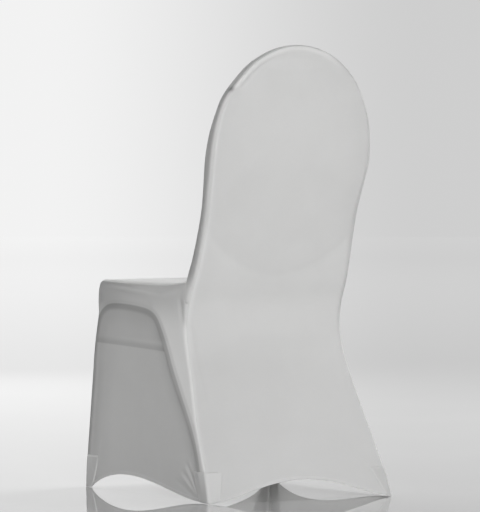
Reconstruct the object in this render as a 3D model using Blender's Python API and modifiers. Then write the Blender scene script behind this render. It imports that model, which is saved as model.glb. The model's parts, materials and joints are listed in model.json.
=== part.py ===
"""Stretch chair cover for a round-topped banquet chair, as it sits when it is pulled over the chair.

The cloth is stretched from the crown of the back to the four feet, so every panel is a thin shell
on the true stretched form: a round crown, a narrow waist at the seat, a skirt that flares to the
feet, and hems that arch up between them. Each surface below is the inner face of the cloth, and
its thickness lies outside it.

Metres. +Z is up and Z = 0 is the surface under the feet. The sitter faces -Y, and the sitter's
left is +X.
"""
import math

import bmesh
import bpy
import numpy as np

CLOTH = 0.0015
POCKET_CLOTH = 0.0012
SEAM_GAP = 0.0003
REAR_FOOT_Y = 0.2608

# Rounded edges: the seam lies at this share of the radius, and the next step round it at this one
SEAM_SHARE = 0.25
MIDDLE_SHARE = 0.5625

# Rear corner of the cover: height, half width, how far behind the rear feet, corner radius
REAR_CORNER = (
    (0.000, 0.2165, 0.0110, 0.006),
    (0.050, 0.2128, -0.0085, 0.007),
    (0.100, 0.2085, -0.0355, 0.008),
    (0.150, 0.2040, -0.0635, 0.009),
    (0.200, 0.1975, -0.0885, 0.010),
    (0.250, 0.1910, -0.1120, 0.011),
    (0.300, 0.1872, -0.1345, 0.012),
    (0.350, 0.1860, -0.1465, 0.014),
    (0.400, 0.1862, -0.1390, 0.017),
    (0.450, 0.1858, -0.1150, 0.019),
    (0.500, 0.1830, -0.0945, 0.020),
    (0.550, 0.1803, -0.0780, 0.019),
    (0.600, 0.1790, -0.0620, 0.016),
    (0.650, 0.1818, -0.0445, 0.011),
    (0.700, 0.1853, -0.0275, 0.010),
    (0.750, 0.1826, -0.0195, 0.010),
    (0.800, 0.1720, -0.0133, 0.010),
    (0.940, 0.0000, -0.0050, 0.010),
)
# Crown of the back, an arch a little squarer than an ellipse
CROWN_START = 0.700
CROWN_HALF_WIDTH = 0.1853
CROWN_RISE = 0.2371
CROWN_POWER = 2.2
SHOULDER_ANGLE = math.radians(52)

# Depth of the sleeve over the back: height, depth, radius of its front edge
BACK_DEPTH = (
    (0.390, 0.002, 0.002),
    (0.405, 0.009, 0.002),
    (0.420, 0.018, 0.002),
    (0.450, 0.027, 0.003),
    (0.500, 0.031, 0.008),
    (0.600, 0.034, 0.010),
    (0.700, 0.041, 0.010),
    (0.750, 0.036, 0.010),
    (0.800, 0.029, 0.010),
    (0.860, 0.024, 0.010),
    (0.940, 0.023, 0.010),
)
# Band round the back's edge: its bulge, the heights over which that grows, and its lower end
BAND_BULGE = 0.0015
BAND_BULGE_RISE = (0.46, 0.60)
BAND_FOOT = 0.4045
BAND_MIDDLE_DEPTH = 0.010
BAND_WAIST_TOP = 0.50
BAND_STEPS = 5

# Front corner: height, half width, how far in front of the rear feet, corner radius
FRONT_CORNER = (
    (0.000, 0.2298, 0.5328, 0.010),
    (0.090, 0.2245, 0.5312, 0.010),
    (0.230, 0.2160, 0.5272, 0.011),
    (0.300, 0.2120, 0.5245, 0.012),
    (0.340, 0.2095, 0.5195, 0.012),
    (0.370, 0.2076, 0.5165, 0.012),
    (0.400, 0.2058, 0.5215, 0.012),
    (0.430, 0.2040, 0.5228, 0.012),
    (0.460, 0.2030, 0.5210, 0.012),
)
# Side edge of the seat: how far in front of the rear feet, height
SEAT_EDGE = (
    (0.130, 0.4480),
    (0.160, 0.4470),
    (0.200, 0.4425),
    (0.260, 0.4400),
    (0.370, 0.4435),
    (0.460, 0.4475),
    (0.530, 0.4480),
)
# Seat: height of its middle, its swell's fall to the sides, and its rounded front and side edges
SEAT_CROWN_HEIGHT = 0.4515
SEAT_SWELL_POWER = 3
SEAT_SWELL_START = 0.08
SEAT_SWELL_END = 0.03
SEAT_SWELL_LOSS = 0.6
SEAT_NOSE_RADIUS = 0.013
SEAT_REAR_EDGE_RADIUS = 0.004
SEAT_REAR_EDGE_FADE = (0.165, 0.235)
SEAT_EDGE_FOLLOW = 6

# The bent leg tube under the side panel: height of its rear leg, how far in front of the rear feet
LEG_LINE = (
    (0.000, 0.018),
    (0.062, 0.039),
    (0.095, 0.053),
    (0.144, 0.082),
    (0.245, 0.164),
    (0.300, 0.203),
    (0.345, 0.237),
    (0.380, 0.268),
    (0.460, 0.290),
)
LEG_FOOT_HALF_WIDTH = 0.2135
LEG_SPREAD_TO_FRONT = 0.0266
LEG_LEAN_IN = 0.060
LEG_ARCH_HEIGHT = 0.392
LEG_ARCH_CORNER = 0.045
LEG_FRONT_INSET = 0.012
LEG_SLOPE_COSINE = 0.80
TUBE_RIDGE = 0.0022
TUBE_RIDGE_WIDTH = 0.011
TUBE_RIDGE_START = 0.05
TUBE_COLUMN_STEP = 0.012
BRACE_HEIGHT = 0.317
BRACE_RIDGE = 0.0008
BRACE_RIDGE_WIDTH = 0.007
BRACE_REAR_GAP = 0.010
BRACE_FRONT_GAP = 0.025
# The cloth between the legs draws in, less towards the seat, and higher up it runs into the back
SIDE_HOLLOW = 0.004
SIDE_HOLLOW_FADE = (0.36, 0.43)
BACK_JOIN_FADE = (0.42, 0.50)

# Pad in the back, felt as a shallow swell with a U-shaped lower edge
PAD_SWELL = 0.0020
PAD_LOW = 0.462
PAD_SIDE_RISE = 2.9
PAD_EDGE = 0.014
PAD_RIM_FADE = (0.010, 0.035)
RIM_VALLEY = 0.0012
RIM_VALLEY_INSET = 0.017
RIM_VALLEY_WIDTH = 0.008
RIM_VALLEY_RISE = (0.70, 0.86)

# Arched hems: peak height, skew of the peak along the hem, fullness of the curve
HEM_LOW = 0.0022
HEM_REACH = 0.448
REAR_HEM = (0.0390, 1.1, 1.5)
FRONT_HEM = (0.0380, 1.0, 1.3)
LEFT_HEM = (0.0355, 1.5, 0.85)
RIGHT_HEM = (0.0270, 1.5, 0.90)
# Length of hem that stays down beside each foot
REAR_HEM_FLAT = 0.018
FRONT_HEM_FLAT = 0.027
SIDE_HEM_FLAT = 0.045

# Foot pockets: width along the side panel, width along the end panel at its top and at the floor,
# height
POCKETS = {
    "foot_pocket_rear_left": (0.058, 0.040, 0.036, 0.0625),
    "foot_pocket_rear_right": (0.058, 0.034, 0.014, 0.0610),
    "foot_pocket_front_left": (0.054, 0.044, 0.038, 0.0705),
    "foot_pocket_front_right": (0.052, 0.044, 0.040, 0.0690),
}
POCKET_SIDE_TAPER = 0.75
POCKET_CLEARANCE = 0.0007
POCKET_SIDE_EASE = 0.0007
POCKET_EASE_INSET = 0.03
POCKET_CORNER_LIFT = 0.72
POCKET_ROWS = (0.055, 0.040, 0.025, 0.012)
POCKET_SIDE_SHARES = (1.0, 0.66, 0.36)
POCKET_END_SHARES = (0.45, 0.72, 1.0)
POCKET_SOLE_SHARES = (0.055, 0.322, 0.626, 0.92)

# Heights that the panels on both sides of a seam share, so that their edges run alike
SKIRT_HEIGHTS = (HEM_LOW, 0.025, 0.055, 0.09, 0.13, 0.17, 0.21, 0.25, 0.28, 0.302, 0.317, 0.332, 0.352,
                 0.370, 0.381, 0.392, 0.402)
UPPER_SKIRT_HEIGHTS = (0.416, 0.430)
SEAT_TOP = 0.448
SEAT_JOIN_HEIGHT = 0.4485
BACK_HEIGHTS = (0.450, 0.475, 0.500, 0.530, 0.560, 0.600, 0.650, CROWN_START)
CROWN_LEVELS = (0.06, 0.14, 0.26, 0.42, 0.58, 0.73, 0.86)
BACK_COLUMNS = 12
SEAT_COLUMNS = 8
SEAT_ROWS = 10
NOSE_ROWS = 6
# Rows and columns of a side panel near the seat's nose: below the seat's top, and behind its front
NOSE_ROW_DROPS = (0.022, SEAT_NOSE_RADIUS, 0.008, 0.005)
FRONT_COLUMN_INSETS = (0.045, 0.022, 0.009, 0.004, 0.0)
SIDE_MIDDLE_COLUMNS = 5
# How far below the band's lower end the side panel's border steps in to meet the band
BAND_FOOT_STEP = 0.001
CROWN_OUTLINE_STEPS = 1600

CLOTH_COLOUR = (0.78, 0.78, 0.77, 1.0)
CLOTH_ROUGHNESS = 0.62


def smooth_value(table, column, at):
    """Read one column of a table at a value of its first column, on a smooth curve."""
    keys = [row[0] for row in table]
    values = [row[column] for row in table]
    if at <= keys[0]:
        return values[0]
    if at >= keys[-1]:
        return values[-1]
    i = max(k for k in range(len(keys) - 1) if keys[k] <= at)

    def slope(k):
        low = max(k - 1, 0)
        high = min(k + 1, len(keys) - 1)
        return (values[high] - values[low]) / (keys[high] - keys[low])

    span = keys[i + 1] - keys[i]
    t = (at - keys[i]) / span
    start = (2 * t ** 3 - 3 * t ** 2 + 1) * values[i] + (t ** 3 - 2 * t ** 2 + t) * span * slope(i)
    end = (3 * t ** 2 - 2 * t ** 3) * values[i + 1] + (t ** 3 - t ** 2) * span * slope(i + 1)
    return start + end


def step_between(low, high, value):
    """Go smoothly from 0 at low to 1 at high."""
    t = min(max((value - low) / (high - low), 0.0), 1.0)
    return t * t * (3 - 2 * t)


def corner_drop(inset, radius):
    """How far a rounded edge falls away at a distance inside the sharp edge."""
    if inset >= radius:
        return 0.0
    return radius * (1 - math.sqrt(max(inset, 0.0) / radius)) ** 2


def rim_insets(radius):
    """Distances from the sharp edge that step round a rounded edge, from its seam inward."""
    return (radius * SEAM_SHARE, radius * MIDDLE_SHARE, radius)


def crown_point(angle, inset=0.0):
    """Point of the crown's outline, inset by a distance, as x and height."""
    cosine = math.cos(angle)
    x = CROWN_HALF_WIDTH * math.copysign(abs(cosine) ** (2 / CROWN_POWER), cosine)
    z = CROWN_START + CROWN_RISE * abs(math.sin(angle)) ** (2 / CROWN_POWER)
    normal = crown_normal(angle)
    return x - normal[0] * inset, z - normal[1] * inset


def crown_normal(angle):
    """Outward direction of the crown's outline at an angle, as x and height."""
    power = 2 - 2 / CROWN_POWER
    x = math.copysign(abs(math.cos(angle)) ** power, math.cos(angle)) / CROWN_HALF_WIDTH
    z = abs(math.sin(angle)) ** power / CROWN_RISE
    length = math.hypot(x, z)
    return x / length, z / length


CROWN_OUTLINE = np.array([crown_point(math.pi * k / CROWN_OUTLINE_STEPS)
                          for k in range(CROWN_OUTLINE_STEPS + 1)])


def back_half_width(z):
    """Half width of the back at a height."""
    if z <= CROWN_START:
        return smooth_value(REAR_CORNER, 1, z)
    share = min((z - CROWN_START) / CROWN_RISE, 1.0)
    return CROWN_HALF_WIDTH * (1 - share ** CROWN_POWER) ** (1 / CROWN_POWER)


def rear_y(z):
    """Y of the cover's rear face at a height."""
    return REAR_FOOT_Y + smooth_value(REAR_CORNER, 2, z)


def inner_back_y(z):
    """Y of the face towards the sitter at a height."""
    return rear_y(z) - smooth_value(BACK_DEPTH, 1, z)


def front_y(z):
    """Y of the front corner at a height."""
    return REAR_FOOT_Y - smooth_value(FRONT_CORNER, 2, z)


def leg_y(z):
    """Y of the rear leg under the side panel at a height."""
    return REAR_FOOT_Y - smooth_value(LEG_LINE, 1, z)


def seat_edge_z(y):
    """Height of the seat's side edge at a depth."""
    return smooth_value(SEAT_EDGE, 1, REAR_FOOT_Y - y)


def tube_distance(y, z):
    """Distance in the side plane from the middle of the bent leg tube."""
    from_rear = (leg_y(min(z, LEG_ARCH_HEIGHT)) - y) * LEG_SLOPE_COSINE
    from_front = y - front_y(z) - LEG_FRONT_INSET
    from_end = min(from_rear, from_front)
    from_top = LEG_ARCH_HEIGHT - z
    corner = LEG_ARCH_CORNER
    if from_end < corner and from_top < corner:
        return corner - math.hypot(corner - from_end, corner - from_top)
    return min(from_end, from_top)


def side_half_width(y, z):
    """Half width of the side panels at a depth and height, before their edges are rounded."""
    rear_edge = rear_y(z)
    leg = leg_y(z)
    front_edge = front_y(z)
    leg_x = (LEG_FOOT_HALF_WIDTH + LEG_SPREAD_TO_FRONT * (REAR_FOOT_Y - leg)
             - LEG_LEAN_IN * z)
    back_x = smooth_value(REAR_CORNER, 1, z)
    if y >= leg:
        t = (rear_edge - y) / (rear_edge - leg)
        x = back_x + (leg_x - back_x) * t
    else:
        t = min((leg - y) / (leg - front_edge), 1.0)
        front_x = smooth_value(FRONT_CORNER, 1, z)
        hollow = SIDE_HOLLOW * math.sin(math.pi * t) * (1 - step_between(*SIDE_HOLLOW_FADE, z))
        x = leg_x + (front_x - leg_x) * t - hollow
    across = tube_distance(y, z) / TUBE_RIDGE_WIDTH
    x += TUBE_RIDGE * math.exp(-across * across) * step_between(0.0, TUBE_RIDGE_START, z)
    if leg - BRACE_REAR_GAP > y > front_edge + BRACE_FRONT_GAP:
        from_brace = (z - BRACE_HEIGHT) / BRACE_RIDGE_WIDTH
        x += BRACE_RIDGE * math.exp(-from_brace * from_brace)
    return x + (back_x - x) * step_between(*BACK_JOIN_FADE, z)


def hem_height(share, hem):
    """Rise of an arched hem at a share of its length, 0 and 1 being the feet."""
    peak, skew, fullness = hem
    s = min(max(share, 0.0), 1.0) ** skew
    return peak * (4 * s * (1 - s)) ** fullness


def raised(z_row, arch):
    """Height of a row of cloth that follows the arched hem and flattens out above it."""
    return z_row + arch * max(1 - (z_row - HEM_LOW) / HEM_REACH, 0.0) ** 3


def outline_distance(x, z):
    """Distance of a point of the back from the outline of the back."""
    if z <= CROWN_START:
        return back_half_width(z) - abs(x)
    gaps = CROWN_OUTLINE - np.array([x, z])
    return float(np.sqrt((gaps * gaps).sum(axis=1)).min())


def back_relief(x, z, inset):
    """Low swell of the pad in the back, and the valley inside its rim."""
    lower_edge = PAD_LOW + PAD_SIDE_RISE * x * x
    swell = PAD_SWELL * step_between(lower_edge - PAD_EDGE, lower_edge + PAD_EDGE, z)
    swell *= step_between(*PAD_RIM_FADE, inset)
    from_valley = (inset - RIM_VALLEY_INSET) / RIM_VALLEY_WIDTH
    valley = RIM_VALLEY * math.exp(-from_valley * from_valley) * step_between(*RIM_VALLEY_RISE, z)
    return swell - valley


def mesh_object(name, grid, outward, thickness, collection, material):
    """Make a grid of points into a sheet of cloth with its thickness on the outward side."""
    mesh = bpy.data.meshes.new(name)
    bm = bmesh.new()
    rows = [[bm.verts.new(point) for point in row] for row in grid]
    for lower, upper in zip(rows, rows[1:]):
        for j in range(len(lower) - 1):
            bm.faces.new((lower[j], lower[j + 1], upper[j + 1], upper[j]))
    bm.normal_update()
    total = np.sum([np.array(face.normal) * face.calc_area() for face in bm.faces], axis=0)
    if float(np.dot(total, outward)) < 0:
        bmesh.ops.reverse_faces(bm, faces=bm.faces[:])
    for face in bm.faces:
        face.smooth = True
    bm.to_mesh(mesh)
    bm.free()
    mesh.materials.append(material)
    obj = bpy.data.objects.new(name, mesh)
    collection.objects.link(obj)
    shell = obj.modifiers.new("cloth_thickness", "SOLIDIFY")
    shell.thickness = thickness
    shell.offset = 1.0
    shell.use_even_offset = True
    return obj


def pulled_in(grid, gap=SEAM_GAP / 2):
    """Draw the border of a grid of points back by half of the gap that a seam keeps."""
    points = np.array(grid, dtype=float)

    def draw_back(edge, inner):
        step = inner - edge
        length = np.linalg.norm(step, axis=-1, keepdims=True)
        return edge + step / np.maximum(length, 1e-9) * gap

    points[0] = draw_back(points[0], points[1])
    points[-1] = draw_back(points[-1], points[-2])
    points[:, 0] = draw_back(points[:, 0], points[:, 1])
    points[:, -1] = draw_back(points[:, -1], points[:, -2])
    return points.tolist()


def mirrored_columns(insets, half_width, middle):
    """Sideways places from the left edge to the right one, close together at the rims."""
    left = [half_width - inset for inset in insets]
    inner = left[-1]
    between = [inner * (1 - 2 * k / middle) for k in range(1, middle)]
    return left + between + [-x for x in reversed(left)]


def rear_panel_grid():
    """Inner face of the rear panel, from its arched hem to the crown."""
    grid = []
    for z_row in SKIRT_HEIGHTS + UPPER_SKIRT_HEIGHTS + BACK_HEIGHTS:
        insets = rim_insets(smooth_value(REAR_CORNER, 3, z_row))
        half = smooth_value(REAR_CORNER, 1, z_row)
        usable = half - REAR_HEM_FLAT
        row = []
        for x_plain in mirrored_columns(insets, half, BACK_COLUMNS):
            z = raised(z_row, hem_height((usable - x_plain) / (2 * usable), REAR_HEM))
            inset = half - abs(x_plain)
            radius = smooth_value(REAR_CORNER, 3, z)
            drop = corner_drop(inset, radius)
            y = rear_y(z) - drop
            edge_x = side_half_width(y, z) if inset <= radius else smooth_value(REAR_CORNER, 1, z)
            blend = step_between(0.0, half, abs(x_plain))
            x = math.copysign(abs(x_plain) + (edge_x - half) * blend, x_plain)
            row.append((x, y + back_relief(x, z, inset), z))
        grid.append(row)
    return grid + crown_rows(grid[-1], rear_y, 1.0, back_relief)


def crown_shares(rim):
    """Shares up and across the crown at which its rows and columns lie."""
    levels = CROWN_LEVELS + tuple(1 - inset / CROWN_RISE for inset in reversed(rim))
    columns = mirrored_columns(rim, CROWN_HALF_WIDTH, BACK_COLUMNS)
    up = [level / levels[-1] for level in levels]
    across = [(columns[0] - x) / (2 * columns[0]) for x in columns]
    return up, across


def crown_rows(first_row, face_y, side, relief):
    """Rows of a face of the back that arch up from its first row into the crown."""
    radius = smooth_value(REAR_CORNER, 3, CROWN_START)
    rim = rim_insets(radius)
    up, across_shares = crown_shares(rim)
    rows = []
    for v in up:
        row = []
        for j, u in enumerate(across_shares):
            arc_left = crown_point(SHOULDER_ANGLE * v, rim[0])
            arc_right = crown_point(math.pi - SHOULDER_ANGLE * v, rim[0])
            top_angle = SHOULDER_ANGLE + (math.pi - 2 * SHOULDER_ANGLE) * u
            arc_top = crown_point(top_angle, rim[0])
            top_left = crown_point(SHOULDER_ANGLE, rim[0])
            top_right = crown_point(math.pi - SHOULDER_ANGLE, rim[0])
            place = []
            for axis, low in ((0, first_row[j][0]), (1, CROWN_START)):
                start = (first_row[0][0], CROWN_START)[axis]
                finish = (first_row[-1][0], CROWN_START)[axis]
                along = (1 - v) * low + v * arc_top[axis]
                across = (1 - u) * arc_left[axis] + u * arc_right[axis]
                corners = ((1 - u) * (1 - v) * start + u * (1 - v) * finish
                           + (1 - u) * v * top_left[axis] + u * v * top_right[axis])
                place.append(along + across - corners)
            x, z = place
            inset = outline_distance(x, z)
            y = face_y(z) - side * corner_drop(inset, radius)
            if relief is not None:
                y += relief(x, z, inset)
            row.append((x, y, z))
        rows.append(row)
    return rows


def inner_back_grid():
    """Inner face of the panel towards the sitter, from the seat to the crown."""
    grid = []
    for z in BACK_HEIGHTS:
        radius = smooth_value(BACK_DEPTH, 2, z)
        half = smooth_value(REAR_CORNER, 1, z)
        row = []
        for x in mirrored_columns(rim_insets(radius), half, BACK_COLUMNS):
            drop = corner_drop(half - abs(x), radius)
            row.append((x, inner_back_y(z) + drop, z))
        grid.append(row)
    return grid + crown_rows(grid[-1], inner_back_y, -1.0, None)


def band_stations():
    """Places along the back edge band, as x, height and outward direction, left side first."""
    uprights = (BAND_FOOT,) + UPPER_SKIRT_HEIGHTS + (SEAT_JOIN_HEIGHT,) + BACK_HEIGHTS[:-1]
    left = [(side_half_width(rear_y(z) - BAND_MIDDLE_DEPTH, z), z) for z in uprights]
    stations = [(x, z, (1.0, 0.0)) for x, z in left]
    up, across = crown_shares(rim_insets(smooth_value(REAR_CORNER, 3, CROWN_START)))
    rise = [0.0] + [SHOULDER_ANGLE * v for v in up]
    over = [SHOULDER_ANGLE + (math.pi - 2 * SHOULDER_ANGLE) * u for u in across[1:-1]]
    for angle in rise + over + [math.pi - angle for angle in reversed(rise)]:
        x, z = crown_point(angle)
        stations.append((x, z, crown_normal(angle)))
    stations += [(-x, z, (-1.0, 0.0)) for x, z in reversed(left)]
    return stations


def band_grid():
    """Inner face of the narrow band round the back's edge, from one end of the seat to the other."""
    grid = []
    for x, z, normal in band_stations():
        rear = rear_y(z)
        rear_radius = smooth_value(REAR_CORNER, 3, z)
        depth = smooth_value(BACK_DEPTH, 1, z)
        front_radius = smooth_value(BACK_DEPTH, 2, z)
        flat_seam = z < BACK_HEIGHTS[0]
        start = rear_radius * SEAM_SHARE
        end = depth if flat_seam else depth - front_radius * SEAM_SHARE
        row = []
        for k in range(BAND_STEPS + 1):
            share = k / BAND_STEPS
            along = start + (end - start) * share
            y = rear - along
            drop = corner_drop(along, rear_radius)
            if not flat_seam:
                drop += corner_drop(depth - along, front_radius)
            bulge = BAND_BULGE * math.sin(math.pi * share) * step_between(*BAND_BULGE_RISE, z)
            face_x = x
            if z < BAND_WAIST_TOP:
                face_x = math.copysign(side_half_width(y, z), x)
            row.append((face_x + normal[0] * (bulge - drop), y, z + normal[1] * (bulge - drop)))
        grid.append(row)
    return grid


def seat_edge_distance(y, z):
    """Distance inside the rounded front and top edge of the side panel, in the side plane."""
    from_front = y - front_y(z)
    from_top = seat_edge_z(y) - z
    corner = SEAT_NOSE_RADIUS
    if from_front < corner and from_top < corner:
        return corner - math.hypot(corner - from_front, corner - from_top)
    return min(from_front, from_top)


def edge_radius(y, z):
    """Rounding radius of the side panel's front and top edge."""
    forward = step_between(*SEAT_REAR_EDGE_FADE, REAR_FOOT_Y - y)
    return SEAT_REAR_EDGE_RADIUS + (smooth_value(FRONT_CORNER, 3, z) - SEAT_REAR_EDGE_RADIUS) * forward


def side_rear_limit(z):
    """Y of the side panel's rear border: the rear seam, and higher up the band's front seam."""
    if z <= SKIRT_HEIGHTS[-1]:
        return rear_y(z) - smooth_value(REAR_CORNER, 3, z) * SEAM_SHARE
    return inner_back_y(z)


def side_front_limit(z):
    """Y of the side panel's front border at a height, round the seat's nose."""
    corner = SEAT_NOSE_RADIUS
    inset = edge_radius(front_y(z), z) * SEAM_SHARE
    centre_z = SEAT_TOP - corner
    if z <= centre_z:
        return front_y(z) + inset
    reach = max((corner - inset) ** 2 - (z - centre_z) ** 2, 0.0)
    return front_y(z) + corner - math.sqrt(reach)


def side_panel_grid(sign, hem):
    """Inner face of a side panel, from its arched hem to the seat's edge."""
    seam_drop = smooth_value(FRONT_CORNER, 3, SEAT_TOP) * SEAM_SHARE
    heights = SKIRT_HEIGHTS + (BAND_FOOT - BAND_FOOT_STEP, UPPER_SKIRT_HEIGHTS[0])
    heights += tuple(SEAT_TOP - drop for drop in NOSE_ROW_DROPS + (seam_drop,))
    grid = []
    for z_row in heights:
        rear = side_rear_limit(z_row)
        front = side_front_limit(z_row)
        behind_leg = leg_y(z_row) + TUBE_COLUMN_STEP
        before_leg = leg_y(z_row) - TUBE_COLUMN_STEP
        inner_front = front + FRONT_COLUMN_INSETS[0]
        insets = rim_insets(smooth_value(REAR_CORNER, 3, z_row))
        ys = [rear - (inset - insets[0]) for inset in insets]
        ys += [(ys[-1] + behind_leg) / 2, behind_leg, leg_y(z_row), before_leg]
        ys += [before_leg + (inner_front - before_leg) * k / SIDE_MIDDLE_COLUMNS
               for k in range(1, SIDE_MIDDLE_COLUMNS)]
        ys += [front + inset for inset in FRONT_COLUMN_INSETS]
        share_row = (z_row - heights[0]) / (heights[-1] - heights[0])
        row = []
        for y in ys:
            share = (rear - SIDE_HEM_FLAT - y) / (rear - front - 2 * SIDE_HEM_FLAT)
            z = raised(z_row, hem_height(share, hem))
            z += (seat_edge_z(y) - SEAT_TOP) * share_row ** SEAT_EDGE_FOLLOW
            drop = corner_drop(rear_y(z) - y, smooth_value(REAR_CORNER, 3, z))
            drop += corner_drop(seat_edge_distance(y, z), edge_radius(y, z))
            row.append((sign * (side_half_width(y, z) - drop), y, z))
        grid.append(row)
    return grid


def nose_path(end_angle, steps):
    """Arc of the seat's front nose from the front face, as y, height and inward direction."""
    corner = SEAT_NOSE_RADIUS
    centre_z = SEAT_TOP - corner
    centre_y = front_y(centre_z) + corner
    path = []
    for k in range(steps + 1):
        angle = end_angle * k / steps
        normal = (math.cos(angle), -math.sin(angle))
        path.append((centre_y - normal[0] * corner, centre_z - normal[1] * corner, normal))
    return path


def cross_row(y, z, normal, crown):
    """A row of cloth across the seat or the skirt's front at one point of the side edge."""
    radius = edge_radius(y, z)
    half = side_half_width(y, z)
    row = []
    for x in mirrored_columns(rim_insets(radius), half, SEAT_COLUMNS):
        drop = corner_drop(half - abs(x), radius)
        py = y + normal[0] * drop
        pz = z + normal[1] * drop
        px = x
        if half - abs(x) <= radius:
            px = math.copysign(side_half_width(py, pz) - (half - abs(x)), x)
        swell = crown * (1 - (abs(x) / half) ** SEAT_SWELL_POWER)
        row.append((px, py - normal[0] * swell, pz - normal[1] * swell))
    return row


def front_panel_grid():
    """Inner face of the skirt in front of the seat, up to the middle of the seat's nose."""
    grid = []
    for z_row in SKIRT_HEIGHTS + (UPPER_SKIRT_HEIGHTS[0], SEAT_TOP - NOSE_ROW_DROPS[0],
                                  SEAT_TOP - SEAT_NOSE_RADIUS):
        row = cross_row(front_y(z_row), z_row, (1.0, 0.0), 0.0)
        usable = row[0][0] - FRONT_HEM_FLAT
        lifted = []
        for x, y, z in row:
            z_new = raised(z, hem_height((usable - x) / (2 * usable), FRONT_HEM))
            lifted.append((x, y + front_y(z_new) - front_y(z_row), z_new))
        grid.append(lifted)
    for y, z, normal in nose_path(math.pi / 4, NOSE_ROWS // 2)[1:]:
        grid.append(cross_row(y, z, normal, 0.0))
    return grid


def seat_panel_grid():
    """Inner face of the seat's top, from the middle of its nose to the back."""
    path = nose_path(math.pi / 2, NOSE_ROWS)
    grid = [cross_row(y, z, normal, 0.0) for y, z, normal in path[NOSE_ROWS // 2:]]
    start = path[-1][0]
    end = inner_back_y(BACK_HEIGHTS[0]) - CLOTH - SEAM_GAP
    for k in range(1, SEAT_ROWS + 1):
        y = start + (end - start) * k / SEAT_ROWS
        z = seat_edge_z(y)
        crown = (SEAT_CROWN_HEIGHT - z) * step_between(0.0, SEAT_SWELL_START, y - start)
        crown *= 1 - SEAT_SWELL_LOSS * (1 - step_between(0.0, SEAT_SWELL_END, end - y))
        grid.append(cross_row(y, z, (0.0, -1.0), crown))
    return grid


def pocket_grid(front, sign, side_width, end_width_top, end_width_floor, height):
    """Inner face of a foot pocket: two walls round the corner and a sole turned under the foot."""
    lift = CLOTH + POCKET_CLEARANCE
    grid = []
    for z in (height,) + POCKET_ROWS + (POCKET_CLOTH,):
        level = z / height
        side_reach = side_width * (POCKET_SIDE_TAPER + (1 - POCKET_SIDE_TAPER) * level)
        end_reach = end_width_floor + (end_width_top - end_width_floor) * level
        if front:
            edge_y = front_y(z)
            radius = smooth_value(FRONT_CORNER, 3, z)
            along = 1.0
        else:
            edge_y = rear_y(z)
            radius = smooth_value(REAR_CORNER, 3, z)
            along = -1.0
        half = side_half_width(edge_y, z)
        row = []
        side_insets = [side_reach * part for part in POCKET_SIDE_SHARES]
        for inset in side_insets + [radius, radius * MIDDLE_SHARE]:
            y = edge_y + along * inset
            drop = corner_drop(inset, radius)
            width = side_half_width(y, z)
            side_lift = lift + POCKET_SIDE_EASE * step_between(radius, POCKET_EASE_INSET, inset)
            row.append((sign * (width - drop + side_lift), y - along * lift * (drop / radius), z))
        seam = radius * SEAM_SHARE
        corner_lift = lift * POCKET_CORNER_LIFT
        width = side_half_width(edge_y + along * seam, z)
        row.append((sign * (width - seam + corner_lift), edge_y + along * (seam - corner_lift), z))
        end_insets = [end_reach * part for part in POCKET_END_SHARES]
        for inset in [radius * MIDDLE_SHARE, radius] + end_insets:
            drop = corner_drop(inset, radius)
            x = half - inset
            row.append((sign * (x + lift * (drop / radius)), edge_y + along * (drop - lift), z))
        grid.append(row)
    floor = np.array(grid[-1])
    chord = floor[0] + (floor[-1] - floor[0]) * np.linspace(0.0, 1.0, len(floor))[:, None]
    for share in POCKET_SOLE_SHARES:
        grid.append((floor + (chord - floor) * share).tolist())
    return grid


def cloth_material():
    """White stretch knit."""
    material = bpy.data.materials.new("white_stretch_cloth")
    material.use_nodes = True
    shader = material.node_tree.nodes["Principled BSDF"]
    shader.inputs["Base Color"].default_value = CLOTH_COLOUR
    shader.inputs["Roughness"].default_value = CLOTH_ROUGHNESS
    shader.inputs["Metallic"].default_value = 0.0
    return material


def build():
    """Clear the scene and make every panel and pocket of the cover."""
    for obj in list(bpy.data.objects):
        bpy.data.objects.remove(obj, do_unlink=True)
    collection = bpy.data.collections.new("stretch_chair_cover")
    bpy.context.scene.collection.children.link(collection)
    cloth = cloth_material()

    panels = (
        ("rear_panel", rear_panel_grid(), (0, 1, 0)),
        ("inner_back_panel", inner_back_grid(), (0, -1, 0)),
        ("back_edge_band", band_grid(), (0, 0, 1)),
        ("seat_panel", seat_panel_grid(), (0, 0, 1)),
        ("front_panel", front_panel_grid(), (0, -1, 0)),
        ("side_panel_left", side_panel_grid(1.0, LEFT_HEM), (1, 0, 0)),
        ("side_panel_right", side_panel_grid(-1.0, RIGHT_HEM), (-1, 0, 0)),
    )
    for name, grid, outward in panels:
        mesh_object(name, pulled_in(grid), outward, CLOTH, collection, cloth)

    for name, (side_width, end_top, end_floor, height) in POCKETS.items():
        front = "front" in name
        sign = 1.0 if name.endswith("left") else -1.0
        grid = pocket_grid(front, sign, side_width, end_top, end_floor, height)
        outward = (sign, -1.0 if front else 1.0, -1.0)
        mesh_object(name, grid, outward, POCKET_CLOTH, collection, cloth)


build()
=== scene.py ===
"""Looks of a white stretch chair cover, dressed on its packed panels.

Every panel is a thin sheet of knit laid on the same stretched form as its solid, with the creases,
seams, hems and pockets that the cloth shows. Distances to the seams, to the hem and to what presses
on the cloth from inside are kept on the meshes, and the cloth's material reads them.
"""

import json
import math

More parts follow.
